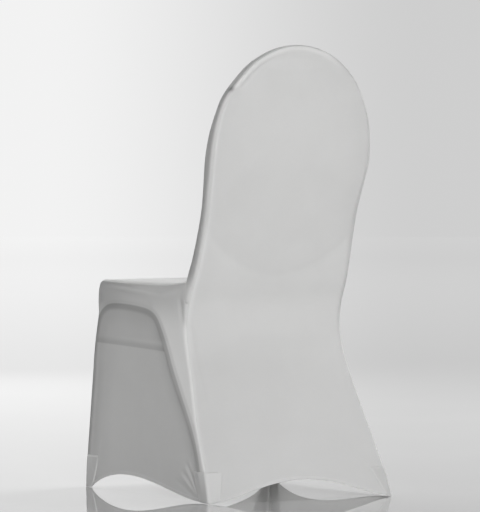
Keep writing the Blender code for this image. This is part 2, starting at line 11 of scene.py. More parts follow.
import bpy
import numpy as np
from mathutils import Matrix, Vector

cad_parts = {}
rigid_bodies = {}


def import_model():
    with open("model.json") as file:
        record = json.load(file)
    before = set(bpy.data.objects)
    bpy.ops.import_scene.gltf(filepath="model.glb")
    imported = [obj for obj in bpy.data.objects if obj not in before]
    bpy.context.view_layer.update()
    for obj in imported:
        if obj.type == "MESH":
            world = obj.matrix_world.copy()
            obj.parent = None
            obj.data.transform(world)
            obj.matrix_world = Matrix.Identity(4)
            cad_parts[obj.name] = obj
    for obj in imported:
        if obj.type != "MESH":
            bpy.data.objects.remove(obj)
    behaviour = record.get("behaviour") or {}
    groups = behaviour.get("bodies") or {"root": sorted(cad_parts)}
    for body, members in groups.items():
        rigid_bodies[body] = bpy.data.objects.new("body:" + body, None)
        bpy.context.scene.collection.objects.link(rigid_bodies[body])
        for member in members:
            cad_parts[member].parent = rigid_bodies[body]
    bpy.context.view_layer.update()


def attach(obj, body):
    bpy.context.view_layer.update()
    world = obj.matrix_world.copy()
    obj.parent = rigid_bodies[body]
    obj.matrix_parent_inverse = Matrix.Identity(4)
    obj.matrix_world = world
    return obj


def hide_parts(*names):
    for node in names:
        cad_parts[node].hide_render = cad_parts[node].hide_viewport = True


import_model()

REAR_FOOT_Y = 0.2608
SEAM_SHARE = 0.25

# Rear corner of the cover: height, half width, how far behind the rear feet, corner radius
REAR_CORNER = (
    (0.000, 0.2165, 0.0110, 0.006),
    (0.050, 0.2128, -0.0085, 0.007),
    (0.100, 0.2085, -0.0355, 0.008),
    (0.150, 0.2040, -0.0635, 0.009),
    (0.200, 0.1975, -0.0885, 0.010),
    (0.250, 0.1910, -0.1120, 0.011),
    (0.300, 0.1872, -0.1345, 0.012),
    (0.350, 0.1860, -0.1465, 0.014),
    (0.400, 0.1862, -0.1390, 0.017),
    (0.450, 0.1858, -0.1150, 0.019),
    (0.500, 0.1830, -0.0945, 0.020),
    (0.550, 0.1803, -0.0780, 0.019),
    (0.600, 0.1790, -0.0620, 0.016),
    (0.650, 0.1818, -0.0445, 0.011),
    (0.700, 0.1853, -0.0275, 0.010),
    (0.750, 0.1826, -0.0195, 0.010),
    (0.800, 0.1720, -0.0133, 0.010),
    (0.940, 0.0000, -0.0050, 0.010),
)
# Crown of the back, an arch a little squarer than an ellipse
CROWN_START = 0.700
CROWN_HALF_WIDTH = 0.1853
CROWN_RISE = 0.2371
CROWN_POWER = 2.2
SHOULDER_ANGLE = math.radians(52)

# Depth of the sleeve over the back: height, depth, radius of its front edge
BACK_DEPTH = (
    (0.390, 0.002, 0.002),
    (0.405, 0.009, 0.002),
    (0.420, 0.018, 0.002),
    (0.450, 0.027, 0.003),
    (0.500, 0.031, 0.008),
    (0.600, 0.037, 0.010),
    (0.700, 0.046, 0.010),
    (0.750, 0.042, 0.010),
    (0.800, 0.034, 0.008),
    (0.860, 0.025, 0.006),
    (0.940, 0.023, 0.006),
)
# Radius of the crown's rear edge by height: sharper above the shoulders
CROWN_EDGE = (
    (0.700, 0.0100),
    (0.832, 0.0080),
    (0.858, 0.0035),
    (0.940, 0.0035),
)
BAND_FOOT = 0.4045
BAND_FOOT_OVERLAP = 0.0015
BAND_FOOT_INSET = 0.010
BAND_BULGE_RISE = (0.46, 0.60)
BAND_WAIST_TOP = 0.50
# How far the back's edge swells out along its sides and over its crown
BAND_SIDE_BULGE = 0.0038
BAND_TOP_BULGE = 0.0015
BAND_TAPER = 0.004
BAND_TAPER_END = (0.78, 0.86)
# The left shoulder hangs lower than the right one: by how much, where it starts, how deep it goes
SHOULDER_DROP = 0.0062
SHOULDER_RISE = (0.815, 0.880)
SHOULDER_ACROSS = (-0.010, 0.090)
SHOULDER_REACH = 0.09
BACK_PIECES = ("rear_panel", "inner_back_panel", "back_edge_band")

# Front corner: height, half width, how far in front of the rear feet, corner radius
FRONT_CORNER = (
    (0.000, 0.2298, 0.5328, 0.010),
    (0.090, 0.2245, 0.5312, 0.010),
    (0.230, 0.2160, 0.5272, 0.011),
    (0.300, 0.2120, 0.5245, 0.012),
    (0.340, 0.2095, 0.5195, 0.012),
    (0.370, 0.2076, 0.5165, 0.012),
    (0.400, 0.2058, 0.5215, 0.012),
    (0.430, 0.2040, 0.5228, 0.012),
    (0.460, 0.2030, 0.5210, 0.012),
)
# Side edge of the seat: how far in front of the rear feet, height, how softly it is rounded
SEAT_EDGE = (
    (0.130, 0.4480, 0.004),
    (0.160, 0.4465, 0.005),
    (0.200, 0.4450, 0.015),
    (0.260, 0.4440, 0.019),
    (0.370, 0.4450, 0.018),
    (0.460, 0.4475, 0.014),
    (0.500, 0.4480, 0.012),
    (0.535, 0.4480, 0.012),
)
SEAT_TOP = 0.448
SEAT_CROWN_HEIGHT = 0.4515
SEAT_SWELL_POWER = 3
SEAT_SWELL_START = 0.08
SEAT_SWELL_END = 0.03
SEAT_SWELL_LOSS = 0.6
SEAT_NOSE_RADIUS = 0.009
SEAT_EDGE_FOLLOW = 6
SEAT_REAR_GAP = 0.0018

# The bent leg tube under the side panel: height of its rear leg, how far in front of the rear feet
LEG_LINE = (
    (0.000, 0.018),
    (0.062, 0.039),
    (0.095, 0.053),
    (0.144, 0.082),
    (0.245, 0.164),
    (0.300, 0.203),
    (0.345, 0.237),
    (0.380, 0.268),
    (0.460, 0.290),
)
LEG_FOOT_HALF_WIDTH = 0.2135
LEG_SPREAD_TO_FRONT = 0.0266
LEG_LEAN_IN = 0.060
# Middle of the bent tube from the front foot over its arch to the rear foot: how far in front of
# the rear feet, height
TUBE_LINE = (
    (0.5215, 0.000),
    (0.5190, 0.090),
    (0.5150, 0.230),
    (0.5125, 0.300),
    (0.5085, 0.340),
    (0.5010, 0.367),
    (0.4835, 0.3835),
    (0.4565, 0.3915),
    (0.4000, 0.3920),
    (0.3300, 0.3875),
    (0.2860, 0.3810),
    (0.2590, 0.3695),
    (0.2350, 0.3450),
    (0.2105, 0.3130),
    (0.1640, 0.2455),
    (0.0820, 0.1435),
    (0.0535, 0.0950),
    (0.0395, 0.0625),
    (0.0180, 0.0000),
)
TUBE_LINE_STEPS = 5
TUBE_TOP = 0.392
TUBE_RIDGE = 0.0024
TUBE_RIDGE_WIDTH = 0.010
TUBE_RIDGE_START = 0.05
# Height of the brace between the legs, at the front legs and at the rear ones
BRACE_FRONT_HEIGHT = 0.3199
BRACE_REAR_HEIGHT = 0.3006
BRACE_RUN = 0.52
BRACE_RIDGE = 0.0009
BRACE_RIDGE_WIDTH = 0.007
SIDE_HOLLOW = 0.004
SIDE_HOLLOW_FADE = (0.36, 0.43)
BACK_JOIN_FADE = (0.42, 0.50)

# Pad in the back, felt as a shallow swell with a U-shaped lower edge
PAD_SWELL = 0.0020
PAD_LOW = 0.462
PAD_SIDE_RISE = 2.9
PAD_EDGE = 0.014
PAD_RIM_FADE = (0.004, 0.050)

# Arched hems: peak height, skew of the peak along the hem, fullness of the curve
HEM_LOW = 0.0022
HEM_REACH = 0.448
REAR_HEM = (0.0390, 1.1, 1.5)
FRONT_HEM = (0.0660, 1.0, 0.52)
LEFT_HEM = (0.0350, 1.75, 0.85)
RIGHT_HEM = (0.0270, 1.5, 0.90)
REAR_HEM_FLAT = 0.012
FRONT_HEM_FLAT = 0.014
SIDE_HEM_REAR_FLAT = 0.045
SIDE_HEM_FRONT_FLAT = 0.030
HEM_FOLD = 0.007
HEM_THICKNESS = 0.00045
HEM_STEP = (HEM_FOLD * 0.85, HEM_FOLD * 1.1)

# Foot pockets: width along the side panel, width along the end panel at its top and at the floor,
# height
POCKETS = {
    "foot_pocket_rear_left": (0.058, 0.040, 0.026, 0.0625),
    "foot_pocket_rear_right": (0.058, 0.034, 0.014, 0.0610),
    "foot_pocket_front_left": (0.054, 0.042, 0.015, 0.0705),
    "foot_pocket_front_right": (0.052, 0.042, 0.015, 0.0690),
}
# How much lighter each pocket is than the panels, over all and at its rim
POCKET_GLOW = {
    "foot_pocket_rear_left": (0.060, 0.020),
    "foot_pocket_rear_right": (-0.020, 0.080),
    "foot_pocket_front_left": (0.015, 0.180),
    "foot_pocket_front_right": (0.020, 0.060),
}
POCKET_FRONT_TAPER = 0.55
POCKET_REAR_TAPER = 0.75
POCKET_LIFT = 0.0014
POCKET_CORNER_LIFT = 0.72
POCKET_FLOOR = 0.0009
POCKET_SOLE_REACH = 0.92
POCKET_ROUND = 0.0060
# How far up from the floor a pocket's corners round up, and how its widths change with height
POCKET_ROUND_SHARE = 0.625
POCKET_SIDE_ROUND = 0.6
POCKET_FRONT_POWER = 0.6
# How the wall stands off the cover on its face and round the corner
POCKET_FACE_LOSS = 0.35
POCKET_CORNER_GAIN = 2.9
POCKET_ROW_PITCH = 0.0028
POCKET_COLUMNS = 18
POCKET_CROWDING = 1.3
POCKET_SOLE_ROWS = 14
POCKET_SOLE_START = 0.03
POCKET_RELIEF = 0.0003
POCKET_RELIEF_START = 0.004
POCKET_RIM_DIP = 0.0002
POCKET_RIM_DIP_WIDTH = 0.0012
POCKET_GLOW_INSET = 0.0018
POCKET_GLOW_WIDTH = 0.0023
POCKET_OUT_DOWN = -0.4

# The sheets: thickness of the cloth, how far its inner face stands off the form, and its seams
CLOTH = 0.0009
CLOTH_STANDOFF = 0.0004
POCKET_CLOTH = 0.0003
SEAM_DIP = 0.0004
SEAM_DIP_WIDTH = 0.0014
SEAM_HALF_GAP = 0.00012
SEAM_ALLOWANCE = 0.006
# Where the rows of the turned-in allowance lie, as shares of its depth
ALLOWANCE_SHARES = (0.12, 0.45, 1.0)
# A distance beyond every map's reach, and the least length to divide by
FAR = 1.0
TINY = 1e-15
# Normals less sharp than this are averaged over so many neighbours on each side
SHARP_ENOUGH = 0.5
NEIGHBOURS = 2


def read_curve(table, column, at):
    """Read one column of a table at values of its first column, on a smooth curve."""
    keys = np.array([row[0] for row in table])
    values = np.array([row[column] for row in table])
    slopes = np.empty_like(values)
    slopes[1:-1] = (values[2:] - values[:-2]) / (keys[2:] - keys[:-2])
    slopes[0] = (values[1] - values[0]) / (keys[1] - keys[0])
    slopes[-1] = (values[-1] - values[-2]) / (keys[-1] - keys[-2])
    at = np.clip(at, keys[0], keys[-1])
    i = np.clip(np.searchsorted(keys, at, side="right") - 1, 0, len(keys) - 2)
    span = keys[i + 1] - keys[i]
    t = (at - keys[i]) / span
    start = (2 * t ** 3 - 3 * t ** 2 + 1) * values[i] + (t ** 3 - 2 * t ** 2 + t) * span * slopes[i]
    end = (3 * t ** 2 - 2 * t ** 3) * values[i + 1] + (t ** 3 - t ** 2) * span * slopes[i + 1]
    return start + end


def step_between(low, high, value):
    """Go smoothly from 0 at low to 1 at high."""
    t = np.clip((value - low) / (high - low), 0.0, 1.0)
    return t * t * (3 - 2 * t)


def fade(low, high, value):
    """Go smoothly from 1 at low to 0 at high."""
    return 1 - step_between(low, high, value)


def window(rise, fall, value):
    """1 from the end of the rise to the start of the fall, and soft across both."""
    return step_between(*rise, value) * fade(*fall, value)


def unit(vectors):
    """Vectors scaled to length 1."""
    return vectors / np.maximum(np.linalg.norm(vectors, axis=-1, keepdims=True), TINY)


def hump(distance, width):
    """A soft ridge of height 1 that fades out over a width."""
    return np.exp(-(distance / width) ** 2)


def corner_drop(inset, radius):
    """How far a rounded edge falls away at a distance inside the sharp edge."""
    return radius * (1 - np.sqrt(np.clip(inset / radius, 0.0, 1.0))) ** 2


def signed_power(value, power):
    """A power of a value's size, with the value's sign."""
    return np.sign(value) * np.abs(value) ** power


def crown_normal(angle):
    """Outward direction of the crown's outline at an angle, as x and height."""
    power = 2 - 2 / CROWN_POWER
    x = signed_power(np.cos(angle), power) / CROWN_HALF_WIDTH
    z = np.abs(np.sin(angle)) ** power / CROWN_RISE
    length = np.hypot(x, z)
    return x / length, z / length


def crown_point(angle, inset=0.0):
    """Point of the crown's outline, inset by a distance, as x and height."""
    x = CROWN_HALF_WIDTH * signed_power(np.cos(angle), 2 / CROWN_POWER)
    z = CROWN_START + CROWN_RISE * np.abs(np.sin(angle)) ** (2 / CROWN_POWER)
    normal = crown_normal(angle)
    return x - normal[0] * inset, z - normal[1] * inset


def rear_y(z):
    """Y of the cover's rear face at a height."""
    return REAR_FOOT_Y + read_curve(REAR_CORNER, 2, z)


def rear_radius(z):
    """Radius of the cover's rear corner at a height."""
    return read_curve(REAR_CORNER, 3, z)


def back_half_width(z):
    """Half width of the rear face at a height."""
    return read_curve(REAR_CORNER, 1, z)


def front_edge_radius(z):
    """Radius of the back's front edge at a height."""
    return read_curve(BACK_DEPTH, 2, z)


def inner_back_y(z):
    """Y of the face towards the sitter at a height."""
    return rear_y(z) - read_curve(BACK_DEPTH, 1, z)


def front_y(z):
    """Y of the front corner at a height."""
    return REAR_FOOT_Y - read_curve(FRONT_CORNER, 2, z)


def leg_y(z):
    """Y of the rear leg under the side panel at a height."""
    return REAR_FOOT_Y - read_curve(LEG_LINE, 1, z)


def seat_edge_z(y):
    """Height of the seat's side edge at a depth."""
    return read_curve(SEAT_EDGE, 1, REAR_FOOT_Y - y)


def inside_corner(from_end, from_top, corner):
    """Distance inside two edges that meet in a round corner."""
    round_part = corner - np.hypot(corner - from_end, corner - from_top)
    in_corner = (from_end < corner) & (from_top < corner)
    return np.where(in_corner, round_part, np.minimum(from_end, from_top))


def tube_path():
    """Points along the middle of the bent leg tube, in the side plane."""
    numbered = [(number,) + row for number, row in enumerate(TUBE_LINE)]
    last = len(TUBE_LINE) - 1
    at = np.linspace(0, last, last * TUBE_LINE_STEPS + 1)
    return REAR_FOOT_Y - read_curve(numbered, 1, at), read_curve(numbered, 2, at)


TUBE_PATH = tube_path()


def tube_distance(y, z):
    """Distance in the side plane from the middle of the bent leg tube, less than 0 outside it."""
    y, z = np.broadcast_arrays(y, z)
    path_y, path_z = TUBE_PATH
    nearest = np.full(y.shape, FAR)
    inside = np.zeros(y.shape, bool)
    for k in range(len(path_y) - 1):
        run_y = path_y[k + 1] - path_y[k]
        run_z = path_z[k + 1] - path_z[k]
        share = ((y - path_y[k]) * run_y + (z - path_z[k]) * run_z) / (run_y ** 2 + run_z ** 2)
        share = np.clip(share, 0.0, 1.0)
        gap = np.hypot(y - path_y[k] - run_y * share, z - path_z[k] - run_z * share)
        nearest = np.minimum(nearest, gap)
        crosses = (path_z[k] > z) != (path_z[k + 1] > z)
        if run_z != 0.0:
            inside ^= crosses & (y < path_y[k] + run_y * (z - path_z[k]) / run_z)
    return np.where(inside, nearest, -nearest)


def brace_distance(y, z):
    """Height above the middle of the brace between the legs."""
    share = (REAR_FOOT_Y - y) / BRACE_RUN
    return z - (BRACE_REAR_HEIGHT + (BRACE_FRONT_HEIGHT - BRACE_REAR_HEIGHT) * share)


def side_half_width(y, z):
    """Half width of the side panels at a depth and height, before their edges are rounded."""
    rear_edge = rear_y(z)
    leg = leg_y(z)
    front_edge = front_y(z)
    leg_x = LEG_FOOT_HALF_WIDTH + LEG_SPREAD_TO_FRONT * (REAR_FOOT_Y - leg) - LEG_LEAN_IN * z
    back_x = back_half_width(z)
    front_x = read_curve(FRONT_CORNER, 1, z)
    behind = back_x + (leg_x - back_x) * (rear_edge - y) / (rear_edge - leg)
    t = np.clip((leg - y) / (leg - front_edge), 0.0, 1.0)
    hollow = SIDE_HOLLOW * np.sin(np.pi * t) * fade(*SIDE_HOLLOW_FADE, z)
    between = leg_x + (front_x - leg_x) * t - hollow
    x = np.where(y >= leg, behind, between)
    inside = tube_distance(y, z)
    x = x + TUBE_RIDGE * hump(inside, TUBE_RIDGE_WIDTH) * step_between(0.0, TUBE_RIDGE_START, z)
    x = x + (BRACE_RIDGE * hump(brace_distance(y, z), BRACE_RIDGE_WIDTH)
             * step_between(0.0, TUBE_RIDGE_WIDTH, inside))
    return x + (back_x - x) * step_between(*BACK_JOIN_FADE, z)


def hem_height(share, hem):
    """Rise of an arched hem at a share of its length, 0 and 1 being the feet."""
    peak, skew, fullness = hem
    s = np.clip(share, 0.0, 1.0) ** skew
    return peak * (4 * s * (1 - s)) ** fullness


def raised(z_row, arch):
    """Height of a row of cloth that follows the arched hem and flattens out above it."""
    return z_row + arch * np.clip(1 - (z_row - HEM_LOW) / HEM_REACH, 0.0, 1.0) ** 3


def seat_edge_distance(y, z):
    """Distance inside the rounded front and top edge of the side panel, in the side plane."""
    return inside_corner(y - front_y(z), seat_edge_z(y) - z, SEAT_NOSE_RADIUS)


def edge_radius(y):
    """Rounding radius of the side panel's front and top edge at a depth."""
    return read_curve(SEAT_EDGE, 2, REAR_FOOT_Y - y)


def spread(start, stop, pitch):
    """Evenly spaced values from start to stop, about a pitch apart."""
    count = max(int(round(abs(stop - start) / pitch)), 1)
    return np.linspace(start, stop, count + 1)


def join_values(*parts):
    """Runs of values joined end to end, each run's first value left out after the first run."""
    return np.concatenate([parts[0]] + [part[1:] for part in parts[1:]])


# Rows and columns of the sheets: how far apart they lie, and how many there are at a rim
CROSS_PITCH = 0.0042
ROW_PITCH = 0.0042
HEM_ROW_PITCH = 0.0018
SIDE_ROW_PITCH = 0.0038
SIDE_UPPER_ROW_PITCH = 0.003
NOSE_ROW_PITCH = 0.0012
RIM_STEPS = 9
RIM_SHARES = SEAM_SHARE + (1 - SEAM_SHARE) * np.linspace(0, 1, RIM_STEPS)
BACK_INNER_COLUMNS = int(2 * CROWN_HALF_WIDTH / CROSS_PITCH)
SEAT_INNER_COLUMNS = 88
SIDE_INNER_COLUMNS = 124
SIDE_FRONT_STEPS = 11
SIDE_FRONT_RIM = 0.012
SIDE_FRONT_CROWDING = 1.5
SIDE_UPPER_START = 0.402
NOSE_STEPS = 7
OUTLINE_STEPS = 1201
CROWN_ANGLE_PITCH = 0.014
# Height at which the seat and the inner back meet
BACK_JOIN_HEIGHT = 0.450

HEM_TOP = HEM_LOW + HEM_FOLD * 2
HEM_ROWS = spread(HEM_LOW, HEM_TOP, HEM_ROW_PITCH)


def mirrored_columns(radius, half_width, inner_count):
    """Sideways places from the left edge to the right one, close together at the rims."""
    rim = half_width - radius * RIM_SHARES
    inner = rim[-1] * (1 - 2 * np.arange(1, inner_count) / inner_count)
    return np.concatenate([rim, inner, -rim[::-1]])


def back_edge_radius(z):
    """Radius of the back's rear edge at a height."""
    return np.where(z < CROWN_START, rear_radius(z), read_curve(CROWN_EDGE, 1, z))


def band_taper(z):
    """How much narrower the back is at its front than at its rear, on each side."""
    return BAND_TAPER * step_between(*BAND_BULGE_RISE, z) * fade(*BAND_TAPER_END, z)


def no_taper(z):
    """The rear face keeps the whole outline."""
    return np.zeros_like(z)


def crown_rows(first_x, face_y, edge_at, shrink, side, levels):
    """Rows of a face of the back that arch up from its first row into the crown."""
    seam = rear_radius(CROWN_START) * SEAM_SHARE
    turn = np.pi - 2 * SHOULDER_ANGLE
    top_seam = seam + shrink(CROWN_START + CROWN_RISE)
    v = levels[:, None]
    u = ((first_x[0] - first_x) / (2 * first_x[0]))[None, :]
    side_seam = seam + shrink(crown_point(SHOULDER_ANGLE * v)[1])
    left = np.array(crown_point(SHOULDER_ANGLE * v, side_seam))
    right = np.array(crown_point(np.pi - SHOULDER_ANGLE * v, side_seam))
    top = np.array(crown_point(SHOULDER_ANGLE + turn * u, top_seam))
    low = np.array([first_x, np.full_like(first_x, CROWN_START)])[:, None, :]
    corners = ((1 - u) * (1 - v) * low[:, :, :1] + u * (1 - v) * low[:, :, -1:]
               + (1 - u) * v * top[:, :, :1] + u * v * top[:, :, -1:])
    x, z = (1 - v) * low + v * top + (1 - u) * left + u * right - corners
    inset = outline_distance(x, z) - shrink(z)
    y = face_y(z) - side * corner_drop(inset, edge_at(z))
    return np.stack([x, y, z], axis=-1)


def outline_distance(x, z):
    """Distance of points of the back from the outline of the back."""
    below = np.where(z <= CROWN_START, back_half_width(z) - np.abs(x), FAR)
    angles = np.linspace(0, np.pi, OUTLINE_STEPS)
    outline = np.stack(crown_point(angles), axis=-1)
    above = np.empty_like(x)
    for k in range(len(x)):
        gaps = np.hypot(x[k][:, None] - outline[None, :, 0], z[k][:, None] - outline[None, :, 1])
        above[k] = gaps.min(axis=1)
    return np.where(z <= CROWN_START, below, above)


def crown_levels():
    """Shares of the way up the crown at which its rows lie, close together at the rim."""
    radius = rear_radius(CROWN_START)
    seam = radius * SEAM_SHARE
    main = spread(0.0, CROWN_RISE - radius, ROW_PITCH)[1:]
    rim = CROWN_RISE - radius * RIM_SHARES[-2::-1]
    return np.concatenate([main, rim]) / (CROWN_RISE - seam)


def rear_panel_grid():
    """Inner face of the rear panel, from its arched hem to the crown."""
    z_rows = join_values(HEM_ROWS, spread(HEM_TOP, CROWN_START, ROW_PITCH))
    rows = []
    for z_row in z_rows:
        radius = rear_radius(z_row)
        half = back_half_width(z_row)
        usable = half - REAR_HEM_FLAT
        plain = mirrored_columns(radius, half, BACK_INNER_COLUMNS)
        z = raised(z_row, hem_height((usable - plain) / (2 * usable), REAR_HEM))
        inset = half - np.abs(plain)
        near = rear_radius(z)
        y = rear_y(z) - corner_drop(inset, near)
        edge = np.where(inset <= near, side_half_width(y, z), back_half_width(z))
        x = np.sign(plain) * (np.abs(plain) + (edge - half) * step_between(0.0, half, np.abs(plain)))
        rows.append(np.stack([x, y, z], axis=-1))
    lower = np.array(rows)
    upper = crown_rows(lower[-1, :, 0], rear_y, back_edge_radius, no_taper, 1.0, crown_levels())
    return np.concatenate([lower, upper])


def inner_back_grid():
    """Inner face of the panel towards the sitter, from the seat to the crown."""
    rows = []
    for z in spread(BACK_JOIN_HEIGHT, CROWN_START, ROW_PITCH):
        radius = front_edge_radius(z)
        half = back_half_width(z) - band_taper(z)
        x = mirrored_columns(radius, half, BACK_INNER_COLUMNS)
        y = inner_back_y(z) + corner_drop(half - np.abs(x), radius)
        rows.append(np.stack([x, y, np.full_like(x, z)], axis=-1))
    lower = np.array(rows)
    upper = crown_rows(lower[-1, :, 0], inner_back_y, front_edge_radius, band_taper, -1.0,
                       crown_levels())
    return np.concatenate([lower, upper])


BAND_COLUMNS = 26
BAND_CROWDING = 1.35
BULGE_SKEW = 0.8


def band_shares():
    """Shares of the way across the band, close together at its rear seam."""
    return np.linspace(0, 1, BAND_COLUMNS)[None, :] ** BAND_CROWDING


def band_grid():
    """Inner face of the narrow band round the back's edge, from one end of the seat to the other."""
    uprights = spread(BAND_FOOT, CROWN_START, ROW_PITCH)[:-1]
    left_x = side_half_width(rear_y(uprights) - BAND_FOOT_INSET, uprights)
    angles = spread(0.0, np.pi, CROWN_ANGLE_PITCH)
    crown_x, crown_z = crown_point(angles)
    normal_x, normal_z = crown_normal(angles)
    out = np.ones_like(left_x)
    x, z, out_x, out_z = [np.concatenate(runs)[:, None] for runs in (
        (left_x, crown_x, -left_x[::-1]), (uprights, crown_z, uprights[::-1]),
        (out, normal_x, -out), (0 * out, normal_z, 0 * out))]
    rear_edge = back_edge_radius(z)
    depth = read_curve(BACK_DEPTH, 1, z)
    front_radius = front_edge_radius(z)
    flat_seam = z < BACK_JOIN_HEIGHT
    start = corner_drop(rear_radius(z) * SEAM_SHARE, rear_edge)
    end = np.where(flat_seam, depth, depth - front_radius * SEAM_SHARE)
    share = band_shares()
    along = start + (end - start) * share
    y = rear_y(z) - along
    drop = corner_drop(along, rear_edge)
    drop = drop + np.where(flat_seam, 0.0, corner_drop(depth - along, front_radius))
    swell = BAND_SIDE_BULGE + (BAND_TOP_BULGE - BAND_SIDE_BULGE) * np.abs(out_z)
    swell = swell * fade(*BAND_TAPER_END, z)
    bulge = swell * np.sin(np.pi * share ** BULGE_SKEW) * step_between(*BAND_BULGE_RISE, z)
    bulge = bulge - band_taper(z) * share
    face_x = np.where(z < BAND_WAIST_TOP, np.sign(x) * side_half_width(y, z), x)
    return np.stack([face_x + out_x * (bulge - drop), y, z + out_z * (bulge - drop)], axis=-1)


def side_front_limit(z):
    """Y of the side panel's front border at a height, round the seat's nose."""
    corner = SEAT_NOSE_RADIUS
    inset = edge_radius(front_y(z)) * SEAM_SHARE
    centre_z = SEAT_TOP - corner
    if z <= centre_z:
        return front_y(z) + inset
    reach = max((corner - inset) ** 2 - (z - centre_z) ** 2, 0.0)
    return front_y(z) + corner - math.sqrt(reach)


def side_panel_grid(sign, hem):
    """Inner face of a side panel, from its arched hem to the seat's edge."""
    seam_drop = read_curve(FRONT_CORNER, 3, SEAT_TOP) * SEAM_SHARE
    top = SEAT_TOP - seam_drop
    nose_start = SEAT_TOP - SEAT_NOSE_RADIUS
    z_rows = join_values(HEM_ROWS,
                         spread(HEM_TOP, SIDE_UPPER_START, SIDE_ROW_PITCH),
                         spread(SIDE_UPPER_START, nose_start, SIDE_UPPER_ROW_PITCH),
                         spread(nose_start, top, NOSE_ROW_PITCH))
    rows = []
    for z_row in z_rows:
        radius = rear_radius(z_row)
        rear = rear_y(z_row) - radius * SEAM_SHARE
        if z_row > BAND_FOOT - BAND_FOOT_OVERLAP:
            rear = inner_back_y(z_row)
        front = side_front_limit(z_row)
        rear_rim = rear - radius * (RIM_SHARES - SEAM_SHARE)
        middle = np.linspace(rear_rim[-1], front + SIDE_FRONT_RIM, SIDE_INNER_COLUMNS)
        front_rim = front + SIDE_FRONT_RIM * np.linspace(1, 0, SIDE_FRONT_STEPS) ** SIDE_FRONT_CROWDING
        y = join_values(rear_rim, middle, front_rim)
        length = rear - front - SIDE_HEM_REAR_FLAT - SIDE_HEM_FRONT_FLAT
        share = (rear - SIDE_HEM_REAR_FLAT - y) / length
        z = raised(z_row, hem_height(share, hem))
        top_here = seat_edge_z(y) - edge_radius(y) * SEAM_SHARE
        z = z + (top_here - top) * ((z_row - HEM_LOW) / (top - HEM_LOW)) ** SEAT_EDGE_FOLLOW
        drop = corner_drop(rear_y(z) - y, rear_radius(z))
        drop = drop + corner_drop(seat_edge_distance(y, z), edge_radius(y))
        rows.append(np.stack([sign * (side_half_width(y, z) - drop), y, z], axis=-1))
    return np.array(rows)


def nose_path(angles):
    """Arc of the seat's front nose from the front face, as y, height and inward directions."""
    corner = SEAT_NOSE_RADIUS
    centre_z = SEAT_TOP - corner
    centre_y = front_y(centre_z) + corner
    return [(centre_y - math.cos(a) * corner, centre_z + math.sin(a) * corner,
             (math.cos(a), -math.sin(a))) for a in angles]


def cross_row(y, z, normal, crown):
    """A row of cloth across the seat or the skirt's front at one point of the side edge."""
    radius = edge_radius(y)
    half = side_half_width(y, z)
    x = mirrored_columns(radius, half, SEAT_INNER_COLUMNS)
    inset = half - np.abs(x)
    drop = corner_drop(inset, radius)
    row_y = y + normal[0] * drop
    row_z = z + normal[1] * drop
    row_x = np.where(inset <= radius, np.sign(x) * (side_half_width(row_y, row_z) - inset), x)
    swell = crown * (1 - (np.abs(x) / half) ** SEAT_SWELL_POWER)
    return np.stack([row_x, row_y - normal[0] * swell, row_z - normal[1] * swell], axis=-1)


def front_panel_grid():
    """Inner face of the skirt in front of the seat, up to the middle of the seat's nose."""
    z_rows = join_values(HEM_ROWS, spread(HEM_TOP, SEAT_TOP - SEAT_NOSE_RADIUS, ROW_PITCH))
    rows = []
    for z_row in z_rows:
        row = cross_row(front_y(z_row), z_row, (1.0, 0.0), 0.0)
        usable = row[0, 0] - FRONT_HEM_FLAT
        lifted = raised(row[:, 2], hem_height((usable - row[:, 0]) / (2 * usable), FRONT_HEM))
        row[:, 1] += front_y(lifted) - front_y(z_row)
        row[:, 2] = lifted
        rows.append(row)
    for y, z, normal in nose_path(np.linspace(0, math.pi / 4, NOSE_STEPS)[1:]):
        rows.append(cross_row(y, z, normal, 0.0))
    return np.array(rows)


def seat_panel_grid():
    """Inner face of the seat's top, from the middle of its nose to the back."""
    path = nose_path(np.linspace(math.pi / 4, math.pi / 2, NOSE_STEPS))
    rows = [cross_row(y, z, normal, 0.0) for y, z, normal in path]
    start = path[-1][0]
    end = inner_back_y(BACK_JOIN_HEIGHT) - SEAT_REAR_GAP
    for y in spread(start, end, ROW_PITCH)[1:]:
        z = seat_edge_z(y)
        crown = (SEAT_CROWN_HEIGHT - z) * step_between(0.0, SEAT_SWELL_START, y - start)
        crown = crown * (1 - SEAT_SWELL_LOSS * fade(0.0, SEAT_SWELL_END, end - y))
        rows.append(cross_row(y, z, (0.0, -1.0), crown))
    return np.array(rows)


def pocket_wall(reach, radius, shares):
    """One wall of a pocket: its places in from the corner, how far it drops, and its two offsets."""
    seam = radius * SEAM_SHARE
    inset = seam + (reach - seam) * shares ** POCKET_CROWDING
    drop = corner_drop(inset, radius)
    tilt = drop / radius
    off_face = POCKET_LIFT * (1 - tilt * POCKET_FACE_LOSS)
    off_corner = POCKET_LIFT * np.minimum(tilt * POCKET_CORNER_GAIN, POCKET_CORNER_LIFT)
    return inset, drop, off_face, off_corner


